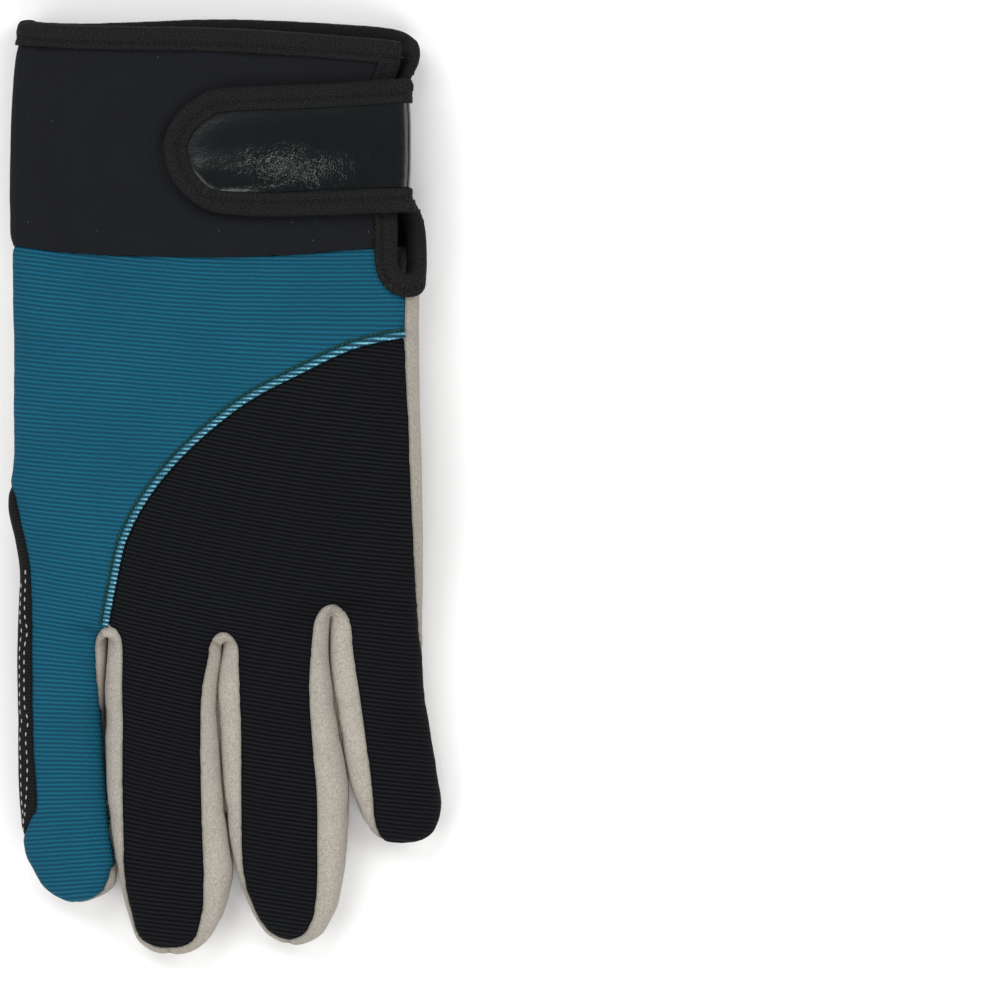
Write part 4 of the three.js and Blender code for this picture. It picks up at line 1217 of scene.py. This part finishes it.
def suede_finish(name, colour):
    """Suede: mottled short nap, with painted shade along the seams."""
    finish = Finish(name, 0.93, 0.1)
    tree, cloth = finish.tree, finish.solid()
    nap = finish.use("suede", {"Cloth": cloth})
    seam = finish.use("seam", {"Seam": finish.seam(), "Cloth": cloth, "Reach": 2.6})
    base = tree.blend(tree.steps(nap["Tone"], 0.36, 0.64), tint(colour, 0.7), tint(colour, 1.24))
    # Painted shade: a band along the seams, darker still in the crease.
    base = finish.mix(base, seam["Near"], tint(colour, 0.45), 0.22)
    finish.colour(finish.mix(base, seam["Crease"], tint(colour, 0.3), 0.55))
    finish.bump(nap["Height"], 0.14)
    return finish.material


def jersey_finish(name, colour, pitch, lint, nap, relief_mm=0.1, fine=0.7, pale=2.0):
    """Fine jersey face of foam or tape: thin lines of painted shade in the grooves, soft blotches,
    painted sheen on the fuzz, some lint.
    """
    finish = Finish(name, 0.9, 0.12)
    tree, cloth = finish.tree, finish.cloth()
    knit = finish.use("knit", {"Cloth": cloth, "Pitch": pitch, "Loop": pitch * 1.3, "Drift": 0.25})
    specks = finish.use("lint", {"Cloth": cloth})
    tufts = tree.steps(tree.noise(cloth, 2.4, 3.0, 0.7), 0.36, 0.64, 0.0, nap)
    fuzz = tree.steps(knit["Fuzz"], 0.55, 0.8, 0.0, 0.5)
    base = tree.blend(tree.noise(cloth, 0.09, 4.0, 0.6), tint(colour, 0.75), tint(colour, 1.25))
    base = finish.mix(base, tufts, tint(colour, pale))
    # Painted shade in the grooves.
    base = finish.mix(base, knit["Groove"], tint(colour, 0.45), fine)
    # Painted sheen: the fuzz is tinted much lighter.
    base = finish.mix(base, fuzz, tint(colour, 2.4))
    finish.colour(finish.mix(base, specks["Speck"], LINT_COLOUR, lint))
    finish.bump(knit["Height"], relief_mm)
    return finish.material


def patch_finish(name, colour):
    """Glossy patch, smooth but for a crumpled field of fine grain."""
    finish = Finish(name, 0.2, 0.5)
    tree, cloth = finish.tree, finish.cloth()
    grain = finish.use("grain", {"Cloth": cloth, "Centre": GRAIN_CENTRE, "Reach": GRAIN_REACH})
    haze = tree.noise(cloth, 0.15, 4.0, 0.6)
    finish.colour(tree.blend(haze, tint(colour, 0.7), tint(colour, 1.5)))
    tree.put(finish.shader.inputs["Roughness"], tree.steps(grain["Field"], 0.0, 1.0, 0.21, 0.19))
    finish.bump(grain["Height"], 0.3)
    return finish.material


def roll_finish(name, colour, glint, pitch):
    """Folded edge of the rib knit: every crown shines where it turns over."""
    finish = Finish(name, 0.6, 0.25)
    tree, cloth = finish.tree, finish.cloth()
    knit = finish.use("knit", {"Cloth": cloth, "Pitch": pitch, "Loop": 0.62, "Drift": 0.0,
                               "Round": 1.0})
    # Painted shade in the grooves and painted highlight on the crowns.
    base = tree.blend(knit["Groove"], tint(colour, 1.5), tint(colour, 0.35))
    crown = tree.steps(knit["Groove"], 0.04, 0.6, 1.0, 0.0)
    over = tree.steps(finish.seam(), 0.1, 1.8, 1.0, 0.1)
    flick = tree.steps(tree.noise(cloth, 1.9, 2.0), 0.36, 0.58, 0.15, 1.0)
    # Painted glints on the crowns, strongest next to the black panel and broken up by noise.
    shine = tree.times(tree.times(crown, over), flick)
    finish.colour(tree.blend(shine, base, glint))
    finish.bump(knit["Height"], 0.2)
    return finish.material


def thread_finish(name, colour):
    """Twisted sewing thread."""
    finish = Finish(name, 0.6, 0.2)
    tree = finish.tree
    place = tree.add("ShaderNodeTexCoord").outputs["Object"]
    ply, soil = tree.noise(place, 4200.0, 2.0), tree.noise(place, 160.0, 2.0)
    base = tree.blend(ply, tint(colour, 0.7), tint(colour, 1.15))
    finish.colour(finish.mix(base, soil, tint(colour, 0.5), 0.35))
    finish.bump(ply, 0.06)
    return finish.material


def mix_finishes(cloth, sizes):
    """Every shader group and material of the glove."""
    GROUPS.update(knit=knit_group(), suede=suede_group(), seam=seam_group(), lint=lint_group(),
                  grain=grain_group())
    pitch = sizes.rib_pitch / MM
    FINISHES.update(
        teal=knit_finish("Teal rib knit", cloth.teal, pitch, 0.56, 1.72, loops=0.62, rounding=1.2),
        # cloth.roll colours the roll's painted glints.
        roll=roll_finish("Teal seam roll", cloth.teal, cloth.roll, pitch),
        black=knit_finish("Black rib knit", cloth.black, pitch, 0.12, 2.6, loops=0.5),
        suede=suede_finish("Grey suede", cloth.suede),
        guard=knit_finish("Black guard cloth", cloth.guard, 0.9, 0.6, 1.6, relief_mm=0.15),
        pad=knit_finish("Black pad cloth", cloth.guard, 1.0, 0.6, 1.8, relief_mm=0.2),
        neoprene=jersey_finish("Black foam jersey", cloth.neoprene, 0.5, lint=0.5, nap=0.5),
        binding=jersey_finish("Black binding tape", cloth.binding, 0.62, lint=0.2, nap=0.95,
                              relief_mm=0.15, fine=0.25, pale=4.0),
        patch=patch_finish("Glossy patch", cloth.patch),
        white=thread_finish("White thread", cloth.white_thread),
        green=thread_finish("Dark green thread", cloth.green_thread),
        dark=thread_finish("Black thread", cloth.black_thread))


# Rows of stitches

def stitch_tree():
    """Stitches laid along every line of a mesh, each one turned by the line and by its 'up'
    attribute."""
    made = bpy.data.node_groups.new("Stitch rows", "GeometryNodeTree")
    sockets = made.interface
    sockets.new_socket(name="Lines", in_out="INPUT", socket_type=GEOMETRY)
    for name, value in (("Pitch", 0.0028), ("Length", 0.0022), ("Width", 0.0006)):
        socket = sockets.new_socket(name=name, in_out="INPUT", socket_type=FLOAT)
        socket.default_value, socket.subtype = value, "DISTANCE"
    sockets.new_socket(name="Thread", in_out="INPUT", socket_type="NodeSocketMaterial")
    seed = sockets.new_socket(name="Seed", in_out="INPUT", socket_type="NodeSocketInt")
    seed.default_value = STITCH_SEED
    sockets.new_socket(name="Stitches", in_out="OUTPUT", socket_type=GEOMETRY)
    tree = Tree(made)
    given = tree.add("NodeGroupInput").outputs
    line = tree.add("GeometryNodeMeshToCurve", {"Mesh": given["Lines"]}).outputs["Curve"]
    spots = tree.add("GeometryNodeCurveToPoints", {"Curve": line, "Length": given["Pitch"]},
                     mode="LENGTH").outputs
    up = tree.add("GeometryNodeInputNamedAttribute", {"Name": "up"}, data_type="FLOAT_VECTOR")
    turn = tree.add("FunctionNodeAxesToRotation", {"Primary Axis": up.outputs["Attribute"],
                                                   "Secondary Axis": spots["Tangent"]},
                    primary_axis="Z", secondary_axis="X").outputs["Rotation"]
    bead = tree.add("GeometryNodeMeshUVSphere", {"Segments": 6, "Rings": 5, "Radius": 1.0})
    size = tree.add("ShaderNodeCombineXYZ", {"X": tree.times(given["Length"], 0.5),
                                             "Y": tree.times(given["Width"], 0.5),
                                             "Z": tree.times(given["Width"], 0.45)})
    bead = tree.add("GeometryNodeTransform", {"Geometry": bead.outputs["Mesh"],
                                              "Scale": size.outputs[0]})
    vary = tree.add("FunctionNodeRandomValue", {0: STITCH_LEAST, 1: STITCH_MOST,
                                                "Seed": given["Seed"]}, data_type="FLOAT_VECTOR")
    laid = tree.add("GeometryNodeInstanceOnPoints", {
        "Points": spots["Points"], "Instance": bead.outputs["Geometry"], "Rotation": turn,
        "Scale": vary.outputs[0]}).outputs["Instances"]
    real = tree.add("GeometryNodeRealizeInstances", {"Geometry": laid}).outputs["Geometry"]
    soft = tree.add("GeometryNodeSetShadeSmooth", {"Geometry": real}).outputs["Geometry"]
    done = tree.add("GeometryNodeSetMaterial", {"Geometry": soft, "Material": given["Thread"]})
    tree.add("NodeGroupOutput", {"Stitches": done.outputs["Geometry"]})
    return made


def stitch_rows(name, rows, thread, pitch, size):
    """One piece with all the stitches of one thread. rows holds pairs of points and outward
    directions, and size a stitch's length and width."""
    points, ups = (np.vstack(part) for part in zip(*rows))
    points *= MM
    points[:, 2] = np.maximum(points[:, 2], size[1] / 2)
    edges, start = [], 0
    for line, _ in rows:
        edges += [(start + k, start + k + 1) for k in range(len(line) - 1)]
        start += len(line)
    mesh = bpy.data.meshes.new(name + "_lines")
    mesh.from_pydata(*as_tuples(points, edges), [])
    mark = mesh.attributes.new("up", "FLOAT_VECTOR", "POINT")
    mark.data.foreach_set("vector", ups.astype(np.float32).ravel())
    lines = link(name + "_lines", mesh)
    tree = bpy.data.node_groups.get("Stitch rows") or stitch_tree()
    modifier = lines.modifiers.new("stitches", "NODES")
    modifier.node_group = tree
    keys = {s.name: s.identifier for s in tree.interface.items_tree if s.in_out == "INPUT"}
    for key, value in zip(("Pitch", "Length", "Width", "Thread"), (pitch, *size, FINISHES[thread])):
        modifier[keys[key]] = value
    graph = bpy.context.evaluated_depsgraph_get()
    made = link(name, bpy.data.meshes.new_from_object(lines.evaluated_get(graph)))
    made.data.name = name
    bpy.data.objects.remove(lines)
    bpy.data.meshes.remove(mesh)
    if not made.data.polygons:
        raise RuntimeError(f"{name} has no stitches")
    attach(made, "root")


def calmed(values, rounds=3):
    """Values along a line, evened out between its ends."""
    values = values.copy()
    for _ in range(rounds):
        values[1:-1] = (values[:-2] + values[1:-1] * 2 + values[2:]) / 4
    return values


def skin_tree():
    """The hand's skin, ready to be looked up along rays."""
    points, faces, _ = hand_skin()
    if "tree" not in SKIN:
        SKIN["tree"] = BVHTree.FromPolygons(*as_tuples(points, faces))
    return SKIN["tree"]


def from_above(places):
    """Places in plan laid on the skin, with its directions there."""
    tree = skin_tree()
    found, ups = [], []
    for x, y in places:
        hit, normal, _, _ = tree.ray_cast(Vector((x, y, 90)), Vector((0, 0, -1)))
        if hit is None:
            hit, normal, _, _ = tree.find_nearest(Vector((x, y, float(widest(y)))))
        found.append(tuple(hit))
        ups.append(tuple(normal))
    return np.array(found), unit(calmed(np.array(ups)))


def from_beside(spots):
    """A row on the hand's left side, evened out in height and laid on the skin from the side."""
    tree = skin_tree()
    hits = [tree.ray_cast(Vector((-90, y, z)), Vector((1, 0, 0)))
            for y, z in zip(spots[:, 1], calmed(spots[:, 2], 60))]
    places, ups = (np.array([tuple(hit[k]) for hit in hits]) for k in (0, 1))
    ups = calmed(ups)
    return places + ups * 0.03, unit(ups)


def edge_row(path, surface, inset, lift):
    """A stitch row that follows an edge at a distance into the cloth."""
    path = even_line(path, 0.7)
    s, y = (path + inward_of(path) * inset).T
    return surface.at(s, y, lift), surface.up(s, y)


# Strap

def strap_section(y):
    """Underside of the strap: down the glove's right side, sharply over, and along the back."""
    mid = float(smooth(HAND, 4, y))
    side = STRAP_SIDE_X + 1.2 * float(smoothstep(-y, -76, -71))
    x, _, z = hand_ring(y, CUFF_PROUD + 0.7)
    back = [(a, c) for a, c in zip(x, z) if c > mid and -30 < a < STRAP_FLAT_X]
    back.sort(key=lambda p: -p[0])
    slope = (back[0][1] - back[8][1]) / (back[0][0] - back[8][0])

    def flat(a):
        return back[0][1] + slope * (a - back[0][0])
    top = flat(side)
    turn = [(side - 1.0, mid - 3.6), (side - 0.2, mid - 1.4), (side, mid + 1.0),
            (side, (mid + top) / 2), (side, top - 1.8), (side - 0.06, top - 0.7),
            (side - 0.55, top - 0.1)]
    turn += [(a, flat(a)) for a in (side - 1.5, side - 3.5, 39.0, 34.0, 29.0)] + [back[0]]
    return np.array(list(map(tuple, spline(turn)[:-1])) + back)


STRAP = Unrolled(np.arange(66.0, 112.0, 1.0), np.arange(0.0, 78.0, 0.5),
                 lambda y, reach: run_section(strap_section(y), reach, False), corner=7.0)


def strap_line(edge):
    """An edge of the strap in unrolled coordinates, from the side root round the tip and back."""
    over = STRAP.reach >= STRAP_OVER_S
    line = [(STRAP.s_of(x, y, over, -1), y) for x, y in spline(edge)[:-1]]
    first, last = edge[0][1], edge[-1][1]
    return np.array([(s, first) for s in (0.2, 3.0, 6.0)] + line
                    + [(s, last) for s in (6.0, 3.0, 0.2)])


def grid_sheet(surface, s, y, shape, cloth):
    """Sheet over an unrolled surface from a grid of s and y: rows of place, outward direction
    and cloth coordinates, and faces."""
    rows = np.hstack([surface.at(s, y), surface.up(s, y), cloth])
    faces = grid_faces(np.arange(len(rows)).reshape(shape))
    a, b, c = (rows[faces[:, k], :3] for k in range(3))
    if (np.cross(b - a, c - a) * rows[faces[:, 0], 3:6]).sum() < 0:
        faces = faces[:, ::-1]
    return rows, faces


def sheet_piece(name, rows, faces, heights, finish, nodes=()):
    """Closed shell on a clipped sheet. heights takes its points and their distance to the rim,
    and returns how high the shell's two faces lie."""
    rows, faces = compact(rows, faces)
    points, ups, cloth = rows[:, :3], rows[:, 3:6], rows[:, 6:]
    distance, _ = rim_distance(points, rim_of(faces))
    shell, shell_faces = thicken(points, faces, ups, *heights(points, distance))
    piece(name, grounded(shell), shell_faces, finish, nodes, np.tile(cloth, (2, 1)),
          np.tile(distance, 2))


def tape_piece(name, node, path, profile, surface, rough, grain):
    """A folded tape with a slightly uneven face."""
    points, faces, cloth = swept(path, profile, surface)
    points = points + normals_of(points, faces) * (rough * wavy(points, grain, 4.0))[:, None]
    piece(name, grounded(points), faces, "binding", [node], cloth)


# Sizes, colours and the pieces' operators

def colour_prop(name, note, value):
    return bpy.props.FloatVectorProperty(name=name, description=note, subtype="COLOR", size=4,
                                         min=0, max=1, default=(*value, 1.0))


def length_prop(name, note, value, least, most):
    return bpy.props.FloatProperty(name=name, description=note, default=value, min=least,
                                   max=most, subtype="DISTANCE")


class GloveCloth(bpy.types.PropertyGroup):
    """Colours of the glove's cloths and threads"""
    teal: colour_prop("Teal rib", "Knit on the upper back and the index finger",
                      (0.0085, 0.093, 0.155))
    # Colour of the painted glints on the crowns of the rolled teal edge.
    roll: colour_prop("Seam roll", "Rolled edge of the teal knit", (0.28, 0.70, 0.84))
    black: colour_prop("Black rib", "Knit over the knuckles and fingers", (0.006, 0.0065, 0.008))
    suede: colour_prop("Grey suede", "Palm, thumb and finger sides", (0.398, 0.367, 0.320))
    guard: colour_prop("Guard cloth", "Strip along the index finger", (0.009, 0.009, 0.010))
    neoprene: colour_prop("Foam jersey", "Cuff", (0.0086, 0.0092, 0.0115))
    binding: colour_prop("Binding", "Folded tape round the free edges", (0.0053, 0.0052, 0.0052))
    patch: colour_prop("Patch", "Glossy patch on the strap", (0.0022, 0.0038, 0.0044))
    white_thread: colour_prop("White thread", "Rows on the guard", (0.5, 0.5, 0.47))
    green_thread: colour_prop("Green thread", "Row beside the seam roll", (0.010, 0.055, 0.040))
    black_thread: colour_prop("Black thread", "Rows on bindings and pad", (0.006, 0.006, 0.006))


class GloveSizes(bpy.types.PropertyGroup):
    """Sizes of the glove's cloths and stitches"""
    rib_pitch: length_prop("Rib pitch", "Distance between two ribs of the knit",
                           0.00112, 0.0004, 0.004)
    wall: length_prop("Cloth wall", "Thickness of the hand's panels", 0.0012, 0.0005, 0.003)
    cuff_wall: length_prop("Cuff wall", "Thickness of the foam cuff", 0.0026, 0.001, 0.005)
    tape_width: length_prop("Tape width", "How far a binding reaches over the edge",
                            0.0053, 0.003, 0.009)
    stitch_pitch: length_prop("Stitch pitch", "Distance between two stitches",
                              0.0028, 0.001, 0.006)
    pad_rise: length_prop("Pad rise", "Thickness of the palm's padded patch",
                          0.0026, 0.001, 0.005)


class GLOVE_OT_finishes(bpy.types.Operator):
    """Mix the materials of the glove"""
    bl_idname = "glove.finishes"
    bl_label = "Finishes"

    def execute(self, context):
        mix_finishes(context.scene.glove_cloth, context.scene.glove_sizes)
        return {"FINISHED"}


class GLOVE_OT_panels(bpy.types.Operator):
    """Sew the back, finger sides, guard and palm"""
    bl_idname = "glove.panels"
    bl_label = "Hand panels"

    def execute(self, context):
        wall = context.scene.glove_sizes.wall / MM
        rows, panels = cut_panels()
        sew_panel("back_teal_rib", rows, panels["teal"], "teal", "back_teal", wall,
                  0.55, teal_map)
        sew_panel("back_black_rib", rows, panels["black"], "black", "back_black",
                  wall, 0.55, black_map)
        for k, node in enumerate(("fourchette_index_middle", "fourchette_middle_ring",
                                  "fourchette_ring_little")):
            sew_panel(node + "_suede", rows, panels[f"strip_{k}"], "suede", node, wall)
        sew_panel("index_guard_strip", rows, panels["guard"], "guard",
                  "index_guard", wall)
        sew_panel("palm_suede", rows, panels["palm"], "suede", "palm", wall)
        return {"FINISHED"}


class GLOVE_OT_thumb(bpy.types.Operator):
    """Fold the thumb under the palm"""
    bl_idname = "glove.thumb"
    bl_label = "Thumb"

    def execute(self, context):
        centres = even_line(spline(THUMB, 10), 0.9)
        across, rise = superellipse(THUMB_FULLNESS, 72)
        rings = []
        for k, (row, way) in enumerate(zip(centres, unit(np.gradient(centres[:, :3], axis=0)))):
            side = np.cross((0, 0, 1), way)
            side /= np.linalg.norm(side)
            up = np.cross(way, side)
            past = max(0.0, (k - len(centres) + 5) / 5)
            keep = math.sqrt(max(1 - past ** 2, 0.05))
            rings.append(grounded(row[:3] + across[:, None] * side * row[3] * keep
                                  + rise[:, None] * up * row[4] * keep))
        points, faces = loft(rings)
        faces = outward(points, faces)
        seam = np.abs(points[:, 2] - THUMB_SEAM_Z)
        lift = 0.15 * wavy(points, 9.0, 2.0) - 0.35 * fade(seam, 0.7)
        points = grounded(points + normals_of(points, faces) * lift[:, None])
        piece("thumb_suede", points, faces, "suede", ["thumb"], cloth_map(points), seam)
        return {"FINISHED"}


class GLOVE_OT_pad(bpy.types.Operator):
    """Stuff the padded patch on the palm"""
    bl_idname = "glove.pad"
    bl_label = "Palm pad"

    def execute(self, context):
        rise = context.scene.glove_sizes.pad_rise / MM
        points, faces, normals = hand_skin()
        low = widest(points[:, 1]) - PAD_SIDE_DROP
        field = np.min([side_distance(points, spline(PAD_OUTLINE, loop=True)),
                        low - points[:, 2], 2.0 - normals[:, 2] * 4], axis=0)
        rows, inside, _ = split(np.hstack([points, normals]), faces, field)
        rows, inside = compact(rows, inside)
        points, normals = rows[:, :3], rows[:, 3:6]
        distance, _ = rim_distance(points, rim_of(inside))
        channel = fade(points[:, 1] - 6 - 0.15 * points[:, 0], 1.1)
        crown = rise * (1 - np.exp(-distance / 2.4)) * (
            1 - 0.45 * channel * smoothstep(distance, 1, 4))
        crown += 0.12 * wavy(points, 5.0, 1.0) * smoothstep(distance, 0, 3)
        shell, shell_faces = thicken(points, inside, normals, 0.45 + crown, 0.2)
        made = piece("palm_pad_cloth", grounded(shell), shell_faces, "pad",
                     ["palm_pad"], np.tile(cloth_map(points), (2, 1)), np.tile(distance, 2))
        loop = rim_loop(inside)
        ring, ups = points[loop], normals[loop]
        for _ in range(14):
            ring, ups = ((np.roll(v, 1, 0) + 2 * v + np.roll(v, -1, 0)) / 4 for v in (ring, ups))
        inward = np.cross(ups, np.roll(ring, -1, 0) - np.roll(ring, 1, 0))
        ring = even_line(closed(ring + unit(inward) * 1.5), 0.8)
        tree = BVHTree.FromPolygons(*as_tuples(shell, shell_faces))
        hits = [tree.find_nearest(Vector(p) - Vector((0, 0, 4))) for p in ring]
        spots, ups = (np.array([tuple(hit[k]) for hit in hits]) for k in (0, 1))
        stitch_rows("pad_stitches", [(spots + ups * 0.05, ups)], "dark",
                    context.scene.glove_sizes.stitch_pitch, DARK_STITCH)
        return {"FINISHED"}


class GLOVE_OT_cuff(bpy.types.Operator):
    """Wrap the foam cuff round the wrist"""
    bl_idname = "glove.cuff"
    bl_label = "Cuff"

    def execute(self, context):
        wall = context.scene.glove_sizes.cuff_wall / MM
        spacing = spacing_of(0.8)
        levels = np.arange(57.0, 124.0, spacing)
        parts = np.linspace(0, 1, int(CUFF_RUNS[:, 1].max() / spacing) + 1)
        y, part = (v.ravel() for v in np.meshgrid(levels, parts, indexing="ij"))
        to_left, around = (np.interp(y, CUFF_LEVELS, runs) for runs in CUFF_RUNS.T)
        u = CUFF_START_S + part * around
        s = np.where(u > to_left, u - around, u)
        rows, faces = grid_sheet(CUFF, s, y, (len(levels), len(parts)), np.stack([y, u], 1))
        seam_y = np.interp(rows[:, 0], *zip(*CUFF_LINE))
        rows, faces, _ = split(rows, faces, np.minimum(open_side(s, y), y - seam_y))

        def heights(points, distance):
            x, y, z = points.T
            over = (0.3 * wavy(points, 14.0, 6.0) - 0.6 * fade(distance, 1.5)
                    + 0.08 * wavy(points, 4.0, 9.0))
            over -= 0.5 * fade(x + 44 + 0.12 * (y - 90), 3.0) * smoothstep(z, 9, 13)
            return over, over - wall
        sheet_piece("cuff_foam", rows, faces, heights, "neoprene", ["cuff"])
        return {"FINISHED"}


class GLOVE_OT_bindings(bpy.types.Operator):
    """Fold the binding tapes round the cuff's free edges"""
    bl_idname = "glove.bindings"
    bl_label = "Cuff bindings"

    def execute(self, context):
        sizes = context.scene.glove_sizes
        profile = tape_profile(sizes.tape_width / MM, sizes.cuff_wall / MM, CUFF_TAPE_HIGH,
                               CUFF_ROW_INSET)
        palm_path = np.vstack([PALM_TOP, [(PALM_EDGE_S, y) for y in np.linspace(100, 89, 8)]])
        slit_path = SLIT_LINE[SLIT_LINE[:, 1] < 112.5]
        slit_path = slit_path[(slit_path[:, 1] < 88) | (slit_path[:, 0] > PALM_EDGE_S + 1)]
        for name, node, path in (("cuff_top_tape_palm", "cuff_top_binding_palm", palm_path),
                                 ("slit_tape", "slit_binding_back", slit_path),
                                 ("cuff_top_tape_back", "cuff_top_binding_back", BACK_TOP)):
            tape_piece(name, node, path, profile, CUFF, 0.09, 2.4)
        rows = [edge_row(path, CUFF, CUFF_ROW_INSET, 0.95)
                for path in (palm_path, slit_path, BACK_TOP)]
        stitch_rows("tape_stitches", rows, "dark", sizes.stitch_pitch, DARK_STITCH)
        return {"FINISHED"}


class GLOVE_OT_strap(bpy.types.Operator):
    """Lay the closing strap with its glossy patch over the slit"""
    bl_idname = "glove.strap"
    bl_label = "Strap"

    def execute(self, context):
        edge, inner = strap_line(STRAP_EDGE), strap_line(PATCH_EDGE)
        spacing = spacing_of(0.6)
        runs = np.concatenate([np.arange(0.2, 9, spacing), np.arange(9, 15, 0.2),
                               np.arange(15, 76, spacing)])
        levels = np.arange(68, 110, spacing)
        s, y = (v.ravel() for v in np.meshgrid(runs, levels))
        rows, faces = grid_sheet(STRAP, s, y, (len(levels), len(runs)), np.stack([s, y], 1))
        body, inside, _ = split(rows, faces, side_distance(rows[:, 6:], edge) - 1.0)
        sheet_piece("strap_body", body, inside, lambda points, distance: STRAP_BODY,
                    "neoprene")

        def crown(points, distance):
            steep = smoothstep(-points[:, 1], -89, -81) * smoothstep(-points[:, 0], -24, 2)
            full = 1 - np.exp(-(distance / (3.4 - 2.1 * steep)) ** 1.5)
            dimple = 0.10 * wavy(points, 19.0, 3.0) + 0.02 * wavy(points, 4.5, 1.0)
            return (STRAP_TOP + (0.4 + 0.45 * steep) * full
                    + dimple * smoothstep(distance, 0, 3)), PATCH_UNDER
        body, inside, _ = split(rows, faces, side_distance(rows[:, 6:], inner) + 0.35)
        sheet_piece("strap_patch", body, inside, crown, "patch", ["strap"])
        profile = tape_profile(STRAP_TAPE_WIDTH, 1.5, 0.62, STRAP_ROW_INSET)
        profile[:, 1] += STRAP_TOP
        tape_piece("strap_tape", "strap_binding", edge, profile, STRAP, 0.07, 2.6)
        stitch_rows("strap_stitches", [edge_row(edge, STRAP, STRAP_ROW_INSET, 2.32)], "dark",
                    context.scene.glove_sizes.stitch_pitch, DARK_STITCH)
        return {"FINISHED"}


class GLOVE_OT_seams(bpy.types.Operator):
    """Roll the teal knit's edge and run the threads"""
    bl_idname = "glove.seams"
    bl_label = "Seam roll and threads"

    def execute(self, context):
        line = even_line(BACK_LINE, spacing_of(0.25))
        to_teal = inward_of(line)
        places, ups = from_above(line + to_teal * ROLL_HALF)
        aside = unit(np.cross(ups, unit(np.gradient(places, axis=0))))
        aside *= np.sign((aside[:, :2] * to_teal).sum(1))[:, None]
        angle = np.linspace(0, 2 * np.pi, 16, endpoint=False)
        across, rise = np.cos(angle), np.sin(angle)
        pitch = context.scene.glove_sizes.rib_pitch / MM
        crowns = np.cos(2 * np.pi * teal_map(places)[:, 1] / pitch)
        rings = [p + side * across[:, None] * ROLL_HALF * (0.94 + 0.06 * crown)
                 + up * rise[:, None] * ROLL_HIGH * (1 + 0.13 * crown)
                 for p, up, side, crown in zip(places, ups, aside, crowns)]
        points, faces = loft(rings)
        over = np.append(np.tile(ROLL_HALF * (1 + across), len(rings)), [ROLL_HALF, ROLL_HALF])
        piece("teal_seam_roll", points, outward(points, faces), "roll", (),
              teal_map(points), over)

        spots, ups = from_above((line + to_teal * (2 * ROLL_HALF + 0.35))[:-4])
        stitch_rows("roll_stitches", [(spots + ups * 0.12, ups)], "green",
                    GREEN_PITCH, GREEN_STITCH)
        rows = [from_beside(from_above(even_line(spline(table, 6), 0.8))[0])
                for table in GUARD_ROWS]
        stitch_rows("guard_stitches", rows, "white", WHITE_PITCH, WHITE_STITCH)
        return {"FINISHED"}


class GLOVE_OT_stage(bpy.types.Operator):
    """Set the pale floor, the soft lights and the camera"""
    bl_idname = "glove.stage"
    bl_label = "Stage"

    def execute(self, context):
        scene = context.scene
        half = FLOOR_HALF
        mesh = bpy.data.meshes.new("floor")
        mesh.from_pydata([(-half, -half, 0), (half, -half, 0), (half, half, 0), (-half, half, 0)],
                         [], [(0, 1, 2, 3)])
        floor = link("floor", mesh)
        finish = Finish("Pale floor", 0.9, 0.0)
        finish.colour((0.96, 0.96, 0.96, 1.0))
        mesh.materials.append(finish.material)
        world = bpy.data.worlds.new("studio")
        scene.world = world
        world.use_nodes = True
        tree = Tree(world.node_tree)
        back = world.node_tree.nodes["Background"]
        seen = tree.add("ShaderNodeLightPath").outputs["Is Camera Ray"]
        tree.put(back.inputs["Color"], (1.0, 1.0, 1.0, 1.0))
        tree.put(back.inputs["Strength"], tree.math("MULTIPLY_ADD", seen, 0.85, 0.13))
        for name, turn, power in LAMPS:
            lamp = bpy.data.lights.new(name, "AREA")
            lamp.shape, lamp.size, lamp.energy = "DISK", LAMP_SIZE, power
            holder = link(name, lamp)
            angle = math.radians(turn)
            place = Vector((math.cos(angle), math.sin(angle), 1)) * LAMP_AWAY
            holder.location = place
            holder.rotation_euler = (-place).to_track_quat("-Z", "Y").to_euler()
        lens = bpy.data.cameras.new("camera")
        lens.sensor_width = CAMERA_SENSOR
        lens.lens = CAMERA_SENSOR * (CAMERA_PLACE[2] - FIELD_HEIGHT) / FIELD_WIDTH
        lens.clip_end = 40.0
        camera = link("camera", lens)
        camera.location = CAMERA_PLACE
        scene.camera = camera
        scene.view_settings.view_transform = "Standard"
        return {"FINISHED"}


class GLOVE_PT_panel(bpy.types.Panel):
    """The glove's sizes, colours and pieces"""
    bl_label = "Padded palm glove"
    bl_idname = "GLOVE_PT_panel"
    bl_space_type = "VIEW_3D"
    bl_region_type = "UI"
    bl_category = "Glove"

    def draw(self, context):
        for owner in (context.scene.glove_sizes, context.scene.glove_cloth):
            box = self.layout.box()
            for key in owner.bl_rna.properties.keys():
                if key not in ("rna_type", "name"):
                    box.prop(owner, key)
        for step in STEPS:
            self.layout.operator(step.bl_idname)


STEPS = (GLOVE_OT_finishes, GLOVE_OT_panels, GLOVE_OT_thumb, GLOVE_OT_pad, GLOVE_OT_cuff,
         GLOVE_OT_bindings, GLOVE_OT_strap, GLOVE_OT_seams, GLOVE_OT_stage)
CLASSES = (GloveCloth, GloveSizes) + STEPS + (GLOVE_PT_panel,)


def register():
    for cls in CLASSES:
        bpy.utils.register_class(cls)
    bpy.types.Scene.glove_cloth = bpy.props.PointerProperty(type=GloveCloth)
    bpy.types.Scene.glove_sizes = bpy.props.PointerProperty(type=GloveSizes)


def unregister():
    del bpy.types.Scene.glove_cloth
    del bpy.types.Scene.glove_sizes
    for cls in reversed(CLASSES):
        bpy.utils.unregister_class(cls)


def main():
    register()
    for step in STEPS:
        group_name, call = step.bl_idname.split(".")
        getattr(getattr(bpy.ops, group_name), call)()


if __name__ == "__main__":
    main()
